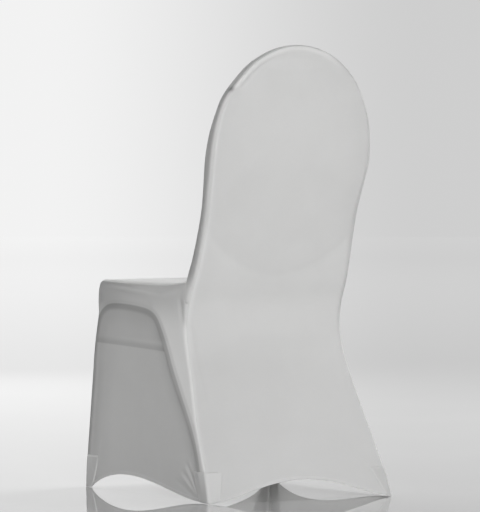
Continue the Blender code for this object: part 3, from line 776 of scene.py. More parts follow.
def pocket_grid(name):
    """Inner face of a foot pocket: two walls round the corner and a sole turned under the foot."""
    side_width, end_width_top, end_width_floor, height = POCKETS[name]
    front = "front" in name
    sign = 1.0 if name.endswith("left") else -1.0
    along = 1.0 if front else -1.0
    z = spread(height, POCKET_FLOOR, POCKET_ROW_PITCH)[:, None]
    level = z / height
    low_share = np.clip(1 - level / POCKET_ROUND_SHARE, 0.0, 1.0)
    taper = POCKET_FRONT_TAPER if front else POCKET_REAR_TAPER
    side_reach = side_width * (taper + (1 - taper) * level ** (POCKET_FRONT_POWER if front else 1.0))
    end_reach = end_width_floor + (end_width_top - end_width_floor) * level
    edge_y = front_y(z) if front else rear_y(z)
    radius = edge_radius(edge_y) if front else rear_radius(z)
    outward = np.linspace(0, 1, POCKET_COLUMNS)

    inset, drop, off_face, off_corner = pocket_wall(side_reach, radius, outward[::-1][None, :])
    side_y = edge_y + along * inset
    side_x = side_half_width(side_y, z) - drop + off_face
    side_y = side_y - along * off_corner
    inset, drop, off_face, off_corner = pocket_wall(end_reach, radius, outward[None, 1:])
    end_x = side_half_width(edge_y, z) - inset + off_corner
    end_y = edge_y + along * (drop - off_face)

    x = sign * np.concatenate([side_x, end_x], axis=1)
    y = np.concatenate([side_y, end_y], axis=1)
    round_up = join_values(outward[::-1] * POCKET_SIDE_ROUND, outward) ** 3 * POCKET_ROUND
    walls = np.stack([x, y, z + round_up[None, :] * low_share], axis=-1)
    floor = walls[-1]
    chord = floor[0] + (floor[-1] - floor[0]) * np.linspace(0, 1, len(floor))[:, None]
    shares = np.linspace(POCKET_SOLE_START, POCKET_SOLE_REACH, POCKET_SOLE_ROWS)
    return np.concatenate([walls, np.array([floor + (chord - floor) * share for share in shares])])


def grid_normals(points, outward):
    """Unit normals of a grid of points, on the side of an outward direction."""
    along = np.gradient(points, axis=1)
    up = np.gradient(points, axis=0)
    normals = np.cross(along, up)
    area = np.linalg.norm(normals, axis=-1, keepdims=True)
    sharpness = area / np.maximum(np.linalg.norm(along, axis=-1, keepdims=True)
                                  * np.linalg.norm(up, axis=-1, keepdims=True), TINY)
    normals = unit(normals)
    margin = (NEIGHBOURS, NEIGHBOURS)
    weighted = np.pad(normals * sharpness ** 2, (margin, margin, (0, 0)), mode="edge")
    around = np.zeros_like(normals)
    rows, columns = normals.shape[:2]
    for i in range(2 * NEIGHBOURS + 1):
        for j in range(2 * NEIGHBOURS + 1):
            around += weighted[i:i + rows, j:j + columns]
    normals = np.where(sharpness < SHARP_ENOUGH, unit(around), normals)
    if (normals.reshape(-1, 3) @ np.array(outward, float)).sum() < 0:
        normals = -normals
    return normals


def lower_shoulder(points):
    """Draw the left shoulder of the back in towards the middle."""
    x, _, z = np.moveaxis(points, -1, 0)
    rise = z - CROWN_START
    outward = unit(np.stack([x / CROWN_HALF_WIDTH ** 2, np.zeros_like(x), rise / CROWN_RISE ** 2], axis=-1))
    level = np.abs(x / CROWN_HALF_WIDTH) ** CROWN_POWER + np.abs(rise / CROWN_RISE) ** CROWN_POWER
    from_rim = (1 - level) * CROWN_HALF_WIDTH / 2
    amount = SHOULDER_DROP * step_between(*SHOULDER_RISE, z) * step_between(*SHOULDER_ACROSS, x)
    amount = amount * fade(0.0, SHOULDER_REACH, from_rim)
    return points - outward * amount[..., None]


def border_gaps(points):
    """Distance along the cloth from each of a grid's four borders: low, high, first, last."""
    up = np.linalg.norm(np.diff(points, axis=0), axis=-1)
    across = np.linalg.norm(np.diff(points, axis=1), axis=-1)
    low = np.concatenate([np.zeros((1, points.shape[1])), np.cumsum(up, axis=0)])
    first = np.concatenate([np.zeros((points.shape[0], 1)), np.cumsum(across, axis=1)], axis=1)
    return low, low[-1:] - low, first, first[:, -1:] - first


def folded_in(points, normals, borders):
    """Add a turned-in seam allowance beyond each of the named borders of a grid."""
    for border in borders:
        edge_axis = 0 if border in ("low", "high") else 1
        order = 1 if border in ("low", "first") else -1
        points, normals = [np.moveaxis(values, edge_axis, 0)[::order] for values in (points, normals)]
        inward = unit(points[1] - points[0])
        strips = [points[0] - normals[0] * SEAM_ALLOWANCE * share - inward * SEAM_HALF_GAP * (1 - share)
                  for share in reversed(ALLOWANCE_SHARES)]
        points = np.concatenate([strips, points])
        normals = np.concatenate([[normals[0]] * len(strips), normals])
        points, normals = [np.moveaxis(values[::order], 0, edge_axis) for values in (points, normals)]
    return points


def padded_field(field, borders):
    """A field on a grid, carried over the seam allowances that folded_in adds."""
    for border in borders:
        edge_axis = 0 if border in ("low", "high") else 1
        width = [(0, 0), (0, 0)]
        added = len(ALLOWANCE_SHARES)
        width[edge_axis] = (added, 0) if border in ("low", "first") else (0, added)
        field = np.pad(field, width, mode="edge")
    return field


# Waves of the smooth noise: how many, how their lengths vary, and what brings their sum to about 1
NOISE_WAVES = 7
NOISE_LENGTHS = (0.6, 1.6)
NOISE_SUM = 4


def smooth_noise(a, b, scale, seed):
    """Gentle waves in two directions, the same each run, from about -1 to 1."""
    random = np.random.default_rng(seed)
    total = np.zeros(np.broadcast(a, b).shape)
    for _ in range(NOISE_WAVES):
        direction = random.uniform(0, 2 * np.pi)
        wave = random.uniform(*NOISE_LENGTHS) * 2 * np.pi / scale
        phase = random.uniform(0, 2 * np.pi)
        total = total + np.sin((a * math.cos(direction) + b * math.sin(direction)) * wave + phase)
    return total / NOISE_SUM


def line_distance(a, b, start, end):
    """Distance from a straight crease between two points, and the share of the way along it."""
    run_a = end[0] - start[0]
    run_b = end[1] - start[1]
    length = math.hypot(run_a, run_b)
    share = ((a - start[0]) * run_a + (b - start[1]) * run_b) / length ** 2
    across = ((a - start[0]) * run_b - (b - start[1]) * run_a) / length
    return across, share


# Where a crease rises at its start and ends, as shares of its length
CREASE_RISE = (0.0, 0.3)
CREASE_END = (0.7, 1.0)


def crease(a, b, start, end, height, width, bow):
    """A soft ridge, or a trough where its height is less than 0, that tapers out at both ends."""
    across, share = line_distance(a, b, start, end)
    across = across + bow * 4 * share * (1 - share)
    return height * hump(across, width) * window(CREASE_RISE, CREASE_END, share)


def both_sides(*rows):
    """Rows of creases that start in x, each with its mirror image."""
    return rows + tuple((-row[0], row[1], -row[2]) + row[3:] for row in rows)


# Creases of the left side panel: from (y, z), to (y, z), height, width, bow. Y is from the rear feet
LEFT_SIDE_CREASES = (
    (-0.505, 0.437, -0.225, 0.4185, 0.0025, 0.0034, 0.0015),
    (-0.48, 0.429, -0.27, 0.41, -0.0013, 0.005, 0.001),
    (-0.515, 0.444, -0.3, 0.429, -0.0021, 0.0036, 0.001),
    (-0.4, 0.437, -0.24, 0.427, 0.0016, 0.0026, 0.0),
    (-0.34, 0.433, -0.225, 0.4235, -0.0012, 0.0026, 0.0),
    (-0.26, 0.417, -0.16, 0.437, 0.0009, 0.005, -0.004),
    (-0.225, 0.433, -0.15, 0.442, -0.0007, 0.004, 0.0),
    (-0.168, 0.425, -0.156, 0.35, -0.0022, 0.008, 0.0),
    (-0.51, 0.425, -0.5, 0.395, -0.0012, 0.006, 0.0),
    (-0.13, 0.056, -0.026, 0.003, 0.0019, 0.0034, 0.003),
    (-0.112, 0.074, -0.034, 0.008, 0.0016, 0.0028, 0.003),
    (-0.095, 0.092, -0.036, 0.02, 0.0013, 0.0026, 0.0025),
    (-0.122, 0.065, -0.032, 0.004, -0.0014, 0.003, 0.003),
    (-0.104, 0.084, -0.036, 0.014, -0.0013, 0.0028, 0.0028),
    (-0.15, 0.044, -0.04, 0.003, -0.001, 0.004, 0.002),
    (-0.075, 0.11, -0.044, 0.035, 0.001, 0.0026, 0.0),
    (-0.066, 0.095, -0.042, 0.018, -0.0012, 0.0028, 0.0),
    (-0.47, 0.115, -0.484, 0.04, 0.0007, 0.004, 0.0),
)
RIGHT_SIDE_CREASES = (
    (-0.495, 0.436, -0.25, 0.421, 0.001, 0.0032, 0.001),
    (-0.43, 0.44, -0.28, 0.431, -0.0007, 0.003, 0.0),
    (-0.25, 0.415, -0.16, 0.436, 0.0009, 0.005, -0.003),
    (-0.168, 0.425, -0.156, 0.35, -0.0022, 0.008, 0.0),
    (-0.13, 0.058, -0.04, 0.012, 0.0011, 0.0034, 0.003),
    (-0.11, 0.082, -0.052, 0.032, 0.0008, 0.003, 0.002),
    (-0.46, 0.12, -0.48, 0.042, 0.0008, 0.004, 0.0),
)
# Creases of the rear panel: from (x, z), to (x, z), height, width, bow
REAR_CREASES = (
    (-0.166, 0.096, -0.1895, 0.056, 0.0011, 0.0024, 0.0),
    (-0.15, 0.11, -0.18, 0.05, -0.0006, 0.005, 0.0),
    (0.166, 0.09, 0.184, 0.048, 0.0006, 0.003, 0.0),
    (0.15, 0.052, 0.178, 0.02, 0.0006, 0.004, 0.002),
    (0.142, 0.864, 0.123, 0.856, 0.0006, 0.0022, 0.0),
    (0.132, 0.876, 0.115, 0.866, 0.0005, 0.0022, 0.0),
    (0.156, 0.85, 0.135, 0.83, 0.0008, 0.005, 0.0),
    (0.17, 0.79, 0.15, 0.75, -0.0007, 0.012, 0.0),
    (0.166, 0.61, 0.15, 0.56, 0.0006, 0.006, 0.0),
    (0.174, 0.41, 0.169, 0.15, 0.0007, 0.004, 0.0),
    (0.164, 0.38, 0.157, 0.21, -0.0005, 0.005, 0.0),
    (-0.166, 0.37, -0.17, 0.17, 0.0005, 0.005, 0.0),
    (0.06, 0.075, -0.03, 0.064, 0.0004, 0.006, 0.0),
)
FRONT_CREASES = (
    (-0.15, 0.425, 0.13, 0.418, 0.0008, 0.0045, 0.0015),
    (-0.1, 0.408, 0.16, 0.412, -0.0006, 0.005, 0.001),
) + both_sides(
    (0.15, 0.098, 0.188, 0.052, 0.0009, 0.0034, 0.0),
    (0.13, 0.072, 0.18, 0.03, 0.0007, 0.004, 0.0),
)
INNER_BACK_CREASES = (
    (-0.15, 0.47, 0.15, 0.472, -0.0008, 0.005, 0.001),
) + both_sides(
    (0.16, 0.46, 0.135, 0.5, 0.0009, 0.005, 0.0),
)
SEAT_CREASES = both_sides(
    (0.17, -0.235, 0.11, -0.2, 0.0007, 0.006, 0.0),
    (0.155, 0.095, 0.1, 0.07, 0.0009, 0.006, 0.0),
)


def creases_of(table, a, b, a_offset=0.0):
    """All the creases of a table, added together."""
    total = np.zeros_like(a)
    for a0, b0, a1, b1, height, width, bow in table:
        total = total + crease(a, b, (a0 + a_offset, b0), (a1 + a_offset, b1), height, width, bow)
    return total


# The roll along the crown's rim, and the valley inside it
RIM_ROLL = 0.0015
RIM_ROLL_WIDTH = (0.0080, 0.0130)
RIM_VALLEY = 0.0008
RIM_VALLEY_INSET = 0.0165
RIM_VALLEY_WIDTH = 0.0045
# Where the roll ends at the left shoulder and fades out over the right one
ROLL_END_HEIGHT = (0.8475, 0.8530)
ROLL_FADE_X = (-0.120, -0.060)
# The pinch under the roll's end: x, height, half length along the rim, half width, depth
SHOULDER_PINCH = (0.1520, 0.8450, 0.0052, 0.0030, 0.0024)
PINCH_SLANT = 0.65
PINCH_INSET = 0.0010
PINCH_START_X = (0.10, 0.13)
# Painted shade in the pinch at the left shoulder, on the rear panel and on the band
NOTCH_SHADE = 0.42
# The ridge of the left seam beside the back: where it rises and ends, height, inset, width
LEFT_RIDGE_RISE = (0.55, 0.62)
LEFT_RIDGE_END = (0.84, 0.852)
LEFT_RIDGE = (0.0007, 0.0040, 0.0022)
# Slight unevenness of the stretch: height, squeeze of the waves in z, wave length, seed
REAR_UNEVEN = (0.00012, 0.35, 0.05, 3)
REAR_UNEVEN_INSET = (0.005, 0.03)
SIDE_UNEVEN = {1.0: (0.00014, 0.5, 0.06, 11), -1.0: (0.00014, 0.5, 0.06, 12)}
# Painted shade of the band, partly the chair's frame seen dark through it and partly the band turned away
# from the
# light: at its sides, at its waist and over the crown, and the heights and shares of the way across where
# each comes in
BAND_SHADE_LOW = 0.21
BAND_SHADE_WAIST = 0.26
BAND_SHADE_CROWN = 0.10
BAND_SHADE_START = (0.57, 0.66)
BAND_SHADE_ACROSS = (0.03, 0.28)
BAND_WAIST_START = (0.43, 0.47)
BAND_WAIST_ACROSS = (0.0, 0.2)
BAND_PINCH = 0.0008
BAND_PINCH_ACROSS = (0.10, 0.60)


def uneven(a, z, table):
    """The slight unevenness of a panel's stretch."""
    height, squeeze, wave, seed = table
    return height * smooth_noise(a, z * squeeze, wave, seed)


def rear_relief(x, z, inset, pad):
    """Pad swell, rim ridge and creases of the rear panel."""
    relief = PAD_SWELL * step_between(-PAD_EDGE, PAD_EDGE, pad) * step_between(*PAD_RIM_FADE, inset)
    crown = crown_share(x, z)
    relief = relief + RIM_ROLL * fade(*RIM_ROLL_WIDTH, inset) * crown
    relief = relief - RIM_VALLEY * hump(inset - RIM_VALLEY_INSET, RIM_VALLEY_WIDTH) * crown
    half_width, depth = SHOULDER_PINCH[3:]
    relief = relief - depth * notch_share(x, z) * hump(inset - PINCH_INSET, half_width)
    ridge, ridge_inset, ridge_width = LEFT_RIDGE
    left = window(LEFT_RIDGE_RISE, LEFT_RIDGE_END, z) * (x > 0)
    relief = relief + ridge * hump(inset - ridge_inset, ridge_width) * left
    relief = relief + creases_of(REAR_CREASES, x, z)
    return relief + uneven(x, z, REAR_UNEVEN) * step_between(*REAR_UNEVEN_INSET, inset)


def notch_share(x, z):
    """How near a place on the back is to the pinch at its left shoulder, along the rim."""
    pinch_x, pinch_z, half_length = SHOULDER_PINCH[:3]
    along_rim = (z - pinch_z) * math.cos(PINCH_SLANT) - (x - pinch_x) * math.sin(PINCH_SLANT)
    return hump(along_rim, half_length) * step_between(*PINCH_START_X, x)


def crown_share(x, z):
    """How much of the roll along the crown's rim shows at a place on the back."""
    return step_between(*ROLL_END_HEIGHT, z) * step_between(*ROLL_FADE_X, x)


def pad_distance(x, z):
    """Height above the pad's U-shaped lower edge."""
    return z - (PAD_LOW + PAD_SIDE_RISE * x * x)


# The cloth's maps as they are named on each mesh: distances in metres, and how much lighter it is
# glow holds painted light and shade, and on the pockets the lighter doubled cloth
FIELDS = ("tube", "brace", "pad", "seam", "hem", "run", "glow")


def dressed(name, grid, outward, relief, seams, hem, fields):
    """Lay relief, seams and hem on a grid, and make it into a sheet with its fields."""
    normals = grid_normals(grid, outward)
    gaps = dict(zip(("low", "high", "first", "last"), border_gaps(grid)))
    seam_gap = np.full(grid.shape[:2], FAR)
    for border in seams:
        seam_gap = np.minimum(seam_gap, gaps[border])
    hem_gap = gaps[hem] if hem else np.full(grid.shape[:2], FAR)
    lift = CLOTH_STANDOFF + relief - SEAM_DIP * np.exp(-seam_gap / SEAM_DIP_WIDTH)
    lift = lift + HEM_THICKNESS * fade(*HEM_STEP, hem_gap)
    points = grid + normals * lift[..., None]
    if name in BACK_PIECES:
        points = lower_shoulder(points)
    run = np.where(np.minimum(gaps["first"], gaps["last"]) < np.minimum(gaps["low"], gaps["high"]),
                   gaps["low"], gaps["first"])
    maps = {"seam": seam_gap, "hem": hem_gap, "run": run}
    for key in FIELDS:
        if key not in maps:
            value = fields.get(key, 0.0 if key == "glow" else FAR)
            maps[key] = np.broadcast_to(value, grid.shape[:2]).astype(float)
    surface_normals = grid_normals(points, outward)
    maps = {key: padded_field(value, seams) for key, value in maps.items()}
    thickness = POCKET_CLOTH if name.startswith("foot_pocket") else CLOTH
    obj = sheet_object(name, folded_in(points, surface_normals, seams), outward, maps, thickness)
    return obj, points, surface_normals


def sheet_object(name, points, outward, maps, thickness):
    """Make a grid of points into a thin sheet, thickened on the outward side."""
    rows, columns = points.shape[:2]
    index = np.arange(rows * columns).reshape(rows, columns)
    quads = np.stack([index[:-1, :-1], index[:-1, 1:], index[1:, 1:], index[1:, :-1]], axis=-1)
    edge_a = points[:-1, 1:] - points[:-1, :-1]
    edge_b = points[1:, :-1] - points[:-1, :-1]
    facing = np.cross(edge_a, edge_b).reshape(-1, 3).sum(axis=0) @ np.array(outward, float)
    quads = quads.reshape(-1, 4)
    if facing < 0:
        quads = quads[:, ::-1]
    obj = new_mesh(name + "_cloth", points, quads.tolist())
    for key, values in maps.items():
        layer = obj.data.attributes.new(key, "FLOAT", "POINT")
        layer.data.foreach_set("value", np.ascontiguousarray(values, dtype=np.float32).ravel())
    shell = obj.modifiers.new("cloth_thickness", "SOLIDIFY")
    shell.thickness = thickness
    shell.offset = 1.0
    shell.use_even_offset = False
    shell.material_offset = 1
    shell.material_offset_rim = 0
    return obj


STITCH_PITCH = 0.0034
STITCH_LENGTH = 0.0024
STITCH_AHEAD = 0.001
STITCH_RADIUS = 0.00028
STITCH_CORNERS = 6
# Rings of one stitch: share of its length, share of its radius, rise
STITCH_RINGS = (
    (-0.50, 0.25, -0.00018),
    (-0.36, 0.95, 0.00006),
    (0.00, 1.10, 0.00012),
    (0.36, 0.95, 0.00006),
    (0.50, 0.25, -0.00018),
)


def stitch_faces():
    """Faces of one stitch, as numbers of its points."""
    faces = []
    for ring in range(len(STITCH_RINGS) - 1):
        for k in range(STITCH_CORNERS):
            a = ring * STITCH_CORNERS + k
            b = ring * STITCH_CORNERS + (k + 1) % STITCH_CORNERS
            faces.append((a, b, b + STITCH_CORNERS, a + STITCH_CORNERS))
    last = STITCH_CORNERS * (len(STITCH_RINGS) - 1)
    return faces + [tuple(reversed(range(STITCH_CORNERS))), tuple(range(last, last + STITCH_CORNERS))]


def stitch_row(name, path, normals, lift):
    """A row of short thread stitches along a path on the cloth."""
    steps = np.linalg.norm(np.diff(path, axis=0), axis=1)
    run = np.concatenate([[0.0], np.cumsum(steps)])
    middles = np.arange(STITCH_PITCH, run[-1] - STITCH_PITCH, STITCH_PITCH)

    def at(values, where):
        return np.stack([np.interp(where, run, values[:, k]) for k in range(3)], axis=-1)

    centre = at(path, middles)
    ahead = unit(at(path, middles + STITCH_AHEAD) - at(path, middles - STITCH_AHEAD))
    up = unit(at(normals, middles))
    side = np.cross(ahead, up)
    points = []
    for share, width, rise in STITCH_RINGS:
        middle = centre + ahead * STITCH_LENGTH * share + up * (lift + rise)
        for angle in np.arange(STITCH_CORNERS) * 2 * math.pi / STITCH_CORNERS:
            away = side * math.cos(angle) + up * math.sin(angle)
            points.append(middle + STITCH_RADIUS * width * away)
    grid = np.stack(points, axis=1)
    one = stitch_faces()
    faces = [tuple(i + n * len(points) for i in face) for n in range(len(grid)) for face in one]
    return new_mesh(name, grid, faces)


def new_mesh(name, points, faces):
    """A smooth mesh object in the scene."""
    mesh = bpy.data.meshes.new(name)
    mesh.from_pydata(points.reshape(-1, 3).tolist(), [], faces)
    mesh.shade_smooth()
    obj = bpy.data.objects.new(name, mesh)
    bpy.context.scene.collection.objects.link(obj)
    return obj


class Nodes:
    """Short ways to add shader nodes to a material or a world."""

    def __init__(self, owner):
        owner.use_nodes = True
        self.tree = owner.node_tree
        self.tree.nodes.clear()

    def add(self, kind, **settings):
        node = self.tree.nodes.new("ShaderNode" + kind)
        for key, value in settings.items():
            setattr(node, key, value)
        return node

    def set(self, socket, value):
        """Link an output to a socket, or set the socket to a plain value."""
        if isinstance(value, bpy.types.NodeSocket):
            self.tree.links.new(value, socket)
        else:
            socket.default_value = value

    def fill(self, node, values):
        """Set or link a node's inputs by name."""
        for name, value in values.items():
            self.set(node.inputs[name], value)
        return node.outputs[0]

    def line_up(self, node, *values):
        """Set or link a node's inputs in their order."""
        for socket, value in zip(node.inputs, values):
            self.set(socket, value)
        return node.outputs[0]

    def show(self, kind, surface):
        """Let an output node show a surface."""
        self.set(self.add(kind).inputs["Surface"], surface)

    def math(self, operation, value, *others):
        """A value taken through one math node with each of the others, or through one alone."""
        for other in others or (0.0,):
            value = self.line_up(self.add("Math", operation=operation), value, other)
        return value

    def wave(self, value, length):
        """A sine of the value with a wave length."""
        return self.math("SINE", self.math("MULTIPLY", value, 2 * math.pi / length))

    def field(self, name):
        return self.add("Attribute", attribute_name=name).outputs["Fac"]

    def ramp(self, value, low, high, start, end):
        """Smooth change from start to end as the value goes from low to high."""
        return self.line_up(self.add("MapRange", interpolation_type="SMOOTHSTEP"),
                            value, low, high, start, end)

    def noise(self, place, scale, detail=2.0):
        node = self.add("TexNoise")
        self.fill(node, {"Vector": place, "Scale": scale, "Detail": detail})
        return node.outputs["Fac"]

    def grey_noise(self, place, scale, low, high):
        """A grey that wanders between two levels."""
        value = self.ramp(self.noise(place, scale), *NOISE_SPAN, low, high)
        return self.line_up(self.add("CombineColor"), value, value, value)

    def split(self, vector):
        """The X, Y and Z of a vector."""
        node = self.add("SeparateXYZ")
        self.line_up(node, vector)
        return node.outputs


NOISE_SPAN = (0.3, 0.7)
CLOTH_COLOUR = (0.860, 0.860, 0.856)
FACE_SEE_THROUGH = 0.42
INSIDE_SEE_THROUGH = 0.85
# How each map on the cloth turns into light and dark: from and to, and the amount at each end
TUBE_OUTER = (-0.0085, -0.0045, 0.0, 1.0)
TUBE_INNER = (0.0010, 0.0105, 0.185, 0.0)
TUBE_SOFT = (0.0, 0.050, 0.10, 0.0)
BRACE_LOW = (-0.0075, -0.0040, 0.0, 1.0)
BRACE_HIGH = (-0.0020, 0.0120, 1.0, 0.0)
BRACE_END = (0.0, 0.0070, 0.0, 0.17)
PAD_SHADE = (-0.006, 0.010, 0.0, 0.032)
SEAM_LIGHT = (0.0055, 0.0070, 0.014, 0.0)
HEM_LIGHT = (0.0062, 0.0076, 0.030, 0.0)
MOTTLE = (-0.008, 0.008)
FINE_MOTTLE = (-0.012, 0.012)
# The knit's loops across and along, and the pucker beside a seam
KNIT_WALE = 0.0011
KNIT_COURSE = 0.0009
KNIT_HEIGHT = 0.5
PUCKER_LENGTH = 0.0052
PUCKER_FADE = (0.0, 0.0060, 1.6, 0.0)
# Scales of the noises in the cloth, the thread and the floor
MOTTLE_SCALE = 14.0
FINE_MOTTLE_SCALE = 900.0
FUZZ_SCALE = 420.0
THREAD_SCALE = 600.0
FLOOR_SCALE = 3.0
THREAD_GREY = (0.78, 0.86)


def new_material(name):
    """A new material, its nodes, its main shader, and the place on the object."""
    material = bpy.data.materials.new(name)
    n = Nodes(material)
    return material, n, n.add("BsdfPrincipled"), n.add("TexCoord").outputs["Object"]


def frame_shade(n):
    """How dark the chair's bent tube and brace show through the cloth."""
    tube = n.field("tube")
    bent = n.math("ADD", n.ramp(tube, *TUBE_INNER), n.ramp(tube, *TUBE_SOFT))
    bent = n.math("MULTIPLY", n.ramp(tube, *TUBE_OUTER), bent)
    brace = n.field("brace")
    bar = n.math("MULTIPLY", n.ramp(brace, *BRACE_LOW), n.ramp(brace, *BRACE_HIGH),
                 n.ramp(tube, *BRACE_END))
    return n.math("ADD", bent, bar)


def knit_bump(n, place):
    """The relief of the knit's loops, its fuzz and the puckers beside a seam."""
    x, y, z = n.split(place)
    knit = n.math("MULTIPLY", n.wave(n.math("ADD", x, y), KNIT_WALE), n.wave(z, KNIT_COURSE), KNIT_HEIGHT)
    pucker = n.math("MULTIPLY", n.wave(n.field("run"), PUCKER_LENGTH),
                    n.ramp(n.field("seam"), *PUCKER_FADE))
    height = n.math("ADD", knit, pucker, n.noise(place, FUZZ_SCALE))
    return n.fill(n.add("Bump"), {"Strength": 0.22, "Distance": 0.00012, "Height": height})


def cloth_material(name, see_through, frame_share):
    """White stretch knit, a little darker where something dark lies close behind it, and lighter or darker
    by the painted light and shade of its glow map.
    """
    material, n, shader, place = new_material(name)
    dark = n.math("MULTIPLY", frame_shade(n), frame_share)
    dark = n.math("ADD", dark, n.ramp(n.field("pad"), *PAD_SHADE))
    doubled = n.math("MAXIMUM", n.ramp(n.field("seam"), *SEAM_LIGHT), n.ramp(n.field("hem"), *HEM_LIGHT))
    mottle = n.ramp(n.noise(place, MOTTLE_SCALE, 3.0), *NOISE_SPAN, *MOTTLE)
    fine = n.ramp(n.noise(place, FINE_MOTTLE_SCALE), *NOISE_SPAN, *FINE_MOTTLE)
    # glow brings in the painted light and shade laid on the meshes, and the pockets' doubled cloth
    light = n.math("ADD", doubled, n.field("glow"), 1.0, mottle, fine)
    tint = n.fill(n.add("VectorMath", operation="SCALE"),
                  {"Vector": CLOTH_COLOUR, "Scale": n.math("SUBTRACT", light, dark)})
    face = n.fill(shader, {"Base Color": tint, "Normal": knit_bump(n, place), "Roughness": 0.62,
                           "Specular IOR Level": 0.35, "Sheen Weight": 0.12, "Sheen Roughness": 0.45})
    through = n.fill(n.add("BsdfTranslucent"), {"Color": tint})
    mixed = n.line_up(n.add("MixShader"), see_through, face, through)
    n.show("OutputMaterial", mixed)
    return material


def thread_material():
    """White sewing thread, a little brighter than the knit."""
    material, n, shader, place = new_material("white_sewing_thread")
    surface = n.fill(shader, {"Base Color": n.grey_noise(place, THREAD_SCALE, *THREAD_GREY),
                              "Roughness": 0.5})
    n.show("OutputMaterial", surface)
    return material


# Painted light on the floor: an emission that rises some way off and fades far away
FLOOR_GLOW = 0.068
FLOOR_GLOW_START = (1.5, 7.0)
FLOOR_GLOW_END = (9.0, 60.0)
FLOOR_GLOW_LEFT = 0.3
FLOOR_GREY = (0.54, 0.56)
FLOOR_RADIUS = 200.0
FLOOR_CORNERS = 96
FLOOR_HEIGHT = -0.0003


def floor_material():
    """Glossy pale floor with painted light: it glows faintly some way off, as if under a bright wall."""
    material, n, shader, place = new_material("glossy_floor")
    away = n.add("VectorMath", operation="LENGTH")
    n.line_up(away, place)
    rise = n.ramp(away.outputs["Value"], *FLOOR_GLOW_START, 0.0, FLOOR_GLOW)
    fall = n.ramp(away.outputs["Value"], *FLOOR_GLOW_END, 1.0, FLOOR_GLOW_LEFT)
    surface = n.fill(shader, {"Base Color": n.grey_noise(place, FLOOR_SCALE, *FLOOR_GREY),
                              "Roughness": 0.01, "IOR": 1.7,
                              "Emission Strength": n.math("MULTIPLY", rise, fall)})
    n.show("OutputMaterial", surface)
    return material


def add_stage():
    """A large plain floor under the cover."""
    bpy.ops.mesh.primitive_circle_add(vertices=FLOOR_CORNERS, radius=FLOOR_RADIUS, fill_type="NGON",
                                      location=(0, 0, FLOOR_HEIGHT))
    floor = bpy.context.object
    floor.name = "studio_floor"
    floor.data.materials.append(floor_material())


# Soft square lights: name, place, target, size, power
LIGHTS = (
    ("key", (2.75, 6.20, 1.45), (0, 0.1, 0.45), 2.0, 345),
    ("top", (-3.3, -0.9, 3.2), (0, 0, 0.45), 2.5, 150),
    ("front_fill", (-0.5, -5.0, 2.6), (0, 0, 0.5), 3.0, 150),
)


def place_object(name, data, place, ahead):
    """Put a light or a camera at a place and turn it to look along a direction."""
    obj = bpy.data.objects.new(name, data)
    bpy.context.scene.collection.objects.link(obj)
    obj.location = place
    obj.rotation_euler = ahead.to_track_quat("-Z", "Y").to_euler()
    return obj


def add_lights():
    """The soft square lights, which don't show in reflections."""
    for name, place, target, size, power in LIGHTS:
        data = bpy.data.lights.new(name, "AREA")
        data.energy = power
        data.size = size
        light = place_object(name, data, place, Vector(target) - Vector(place))
        light.visible_glossy = False


BACKGROUND_BRIGHT = 0.89
BACKGROUND_DIM = 0.62
BRIGHT_SIDE = (0.878, -0.4787)
BRIGHT_FADE = (-0.056, 0.060)
AMBIENT = 0.14


def add_world():
    """Pale surroundings, brighter on one side, that light the cloth only softly."""
    world = bpy.data.worlds.new("studio")
    bpy.context.scene.world = world
    n = Nodes(world)
    x, y, _ = n.split(n.add("TexCoord").outputs["Generated"])
    side = n.math("ADD", n.math("MULTIPLY", x, BRIGHT_SIDE[0]), n.math("MULTIPLY", y, BRIGHT_SIDE[1]))
    level = n.ramp(side, *BRIGHT_FADE, BACKGROUND_DIM, BACKGROUND_BRIGHT)
    soft, seen = [n.fill(n.add("Background"), {"Color": (1.0, 1.0, 1.0, 1.0), "Strength": strength})
                  for strength in (AMBIENT, level)]
    path = n.add("LightPath")
    direct = n.math("MAXIMUM", path.outputs["Is Camera Ray"], path.outputs["Is Glossy Ray"])
    mixed = n.line_up(n.add("MixShader"), direct, soft, seen)
    n.show("OutputWorld", mixed)


CAMERA_PLACE = (3.44907512, 6.07259523 + REAR_FOOT_Y, 0.5606)
CAMERA_TURN = math.radians(28.6)
CAMERA_DIP = math.radians(0.4737)
CAMERA_LENS = 254.03


def add_camera():
    """The photograph's camera: behind the cover, towards the sitter's left, with a long lens."""
    data = bpy.data.cameras.new("camera")
    data.sensor_fit = "HORIZONTAL"
    data.sensor_width = 36.0
    data.lens = CAMERA_LENS
    data.clip_end = 500.0
    level = math.cos(CAMERA_DIP)
    ahead = Vector((-math.sin(CAMERA_TURN) * level, -math.cos(CAMERA_TURN) * level,
                    -math.sin(CAMERA_DIP)))
    bpy.context.scene.camera = place_object("camera", data, CAMERA_PLACE, ahead)


UPPER_SEAMS = ("high", "first", "last")
ALL_SEAMS = ("low",) + UPPER_SEAMS
HEM_ROW = 3


def finish_sheet(obj, node, extras=()):
    """Let a sheet and its stitches ride on the root body, and hide the solid of the node they stand for."""
    for piece in (obj,) + tuple(extras):
        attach(piece, "root")
    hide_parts(node)


def add_panel(name, grid, outward, relief, seams, fields, stitches=None):
    """Dress a panel, and stitch its hem where its row of stitches has a name."""
    hem = "low" if stitches else None
    obj, surface, normals = dressed(name, grid, outward, relief, seams, hem, fields)
    extras = ()
    if stitches:
        extras = (stitch_row(stitches, surface[HEM_ROW], normals[HEM_ROW], CLOTH),)
    finish_sheet(obj, name, extras)


# Painted highlight on the roll over the crown's rim, partly its doubled seam allowance: amount, and the
# insets over which it fades
ROLL_GLOW = 0.095
ROLL_GLOW_INSET = (0.0095, 0.0120)
# Width of the painted shade in the pinch
PINCH_SHADE_WIDTH = 0.0036
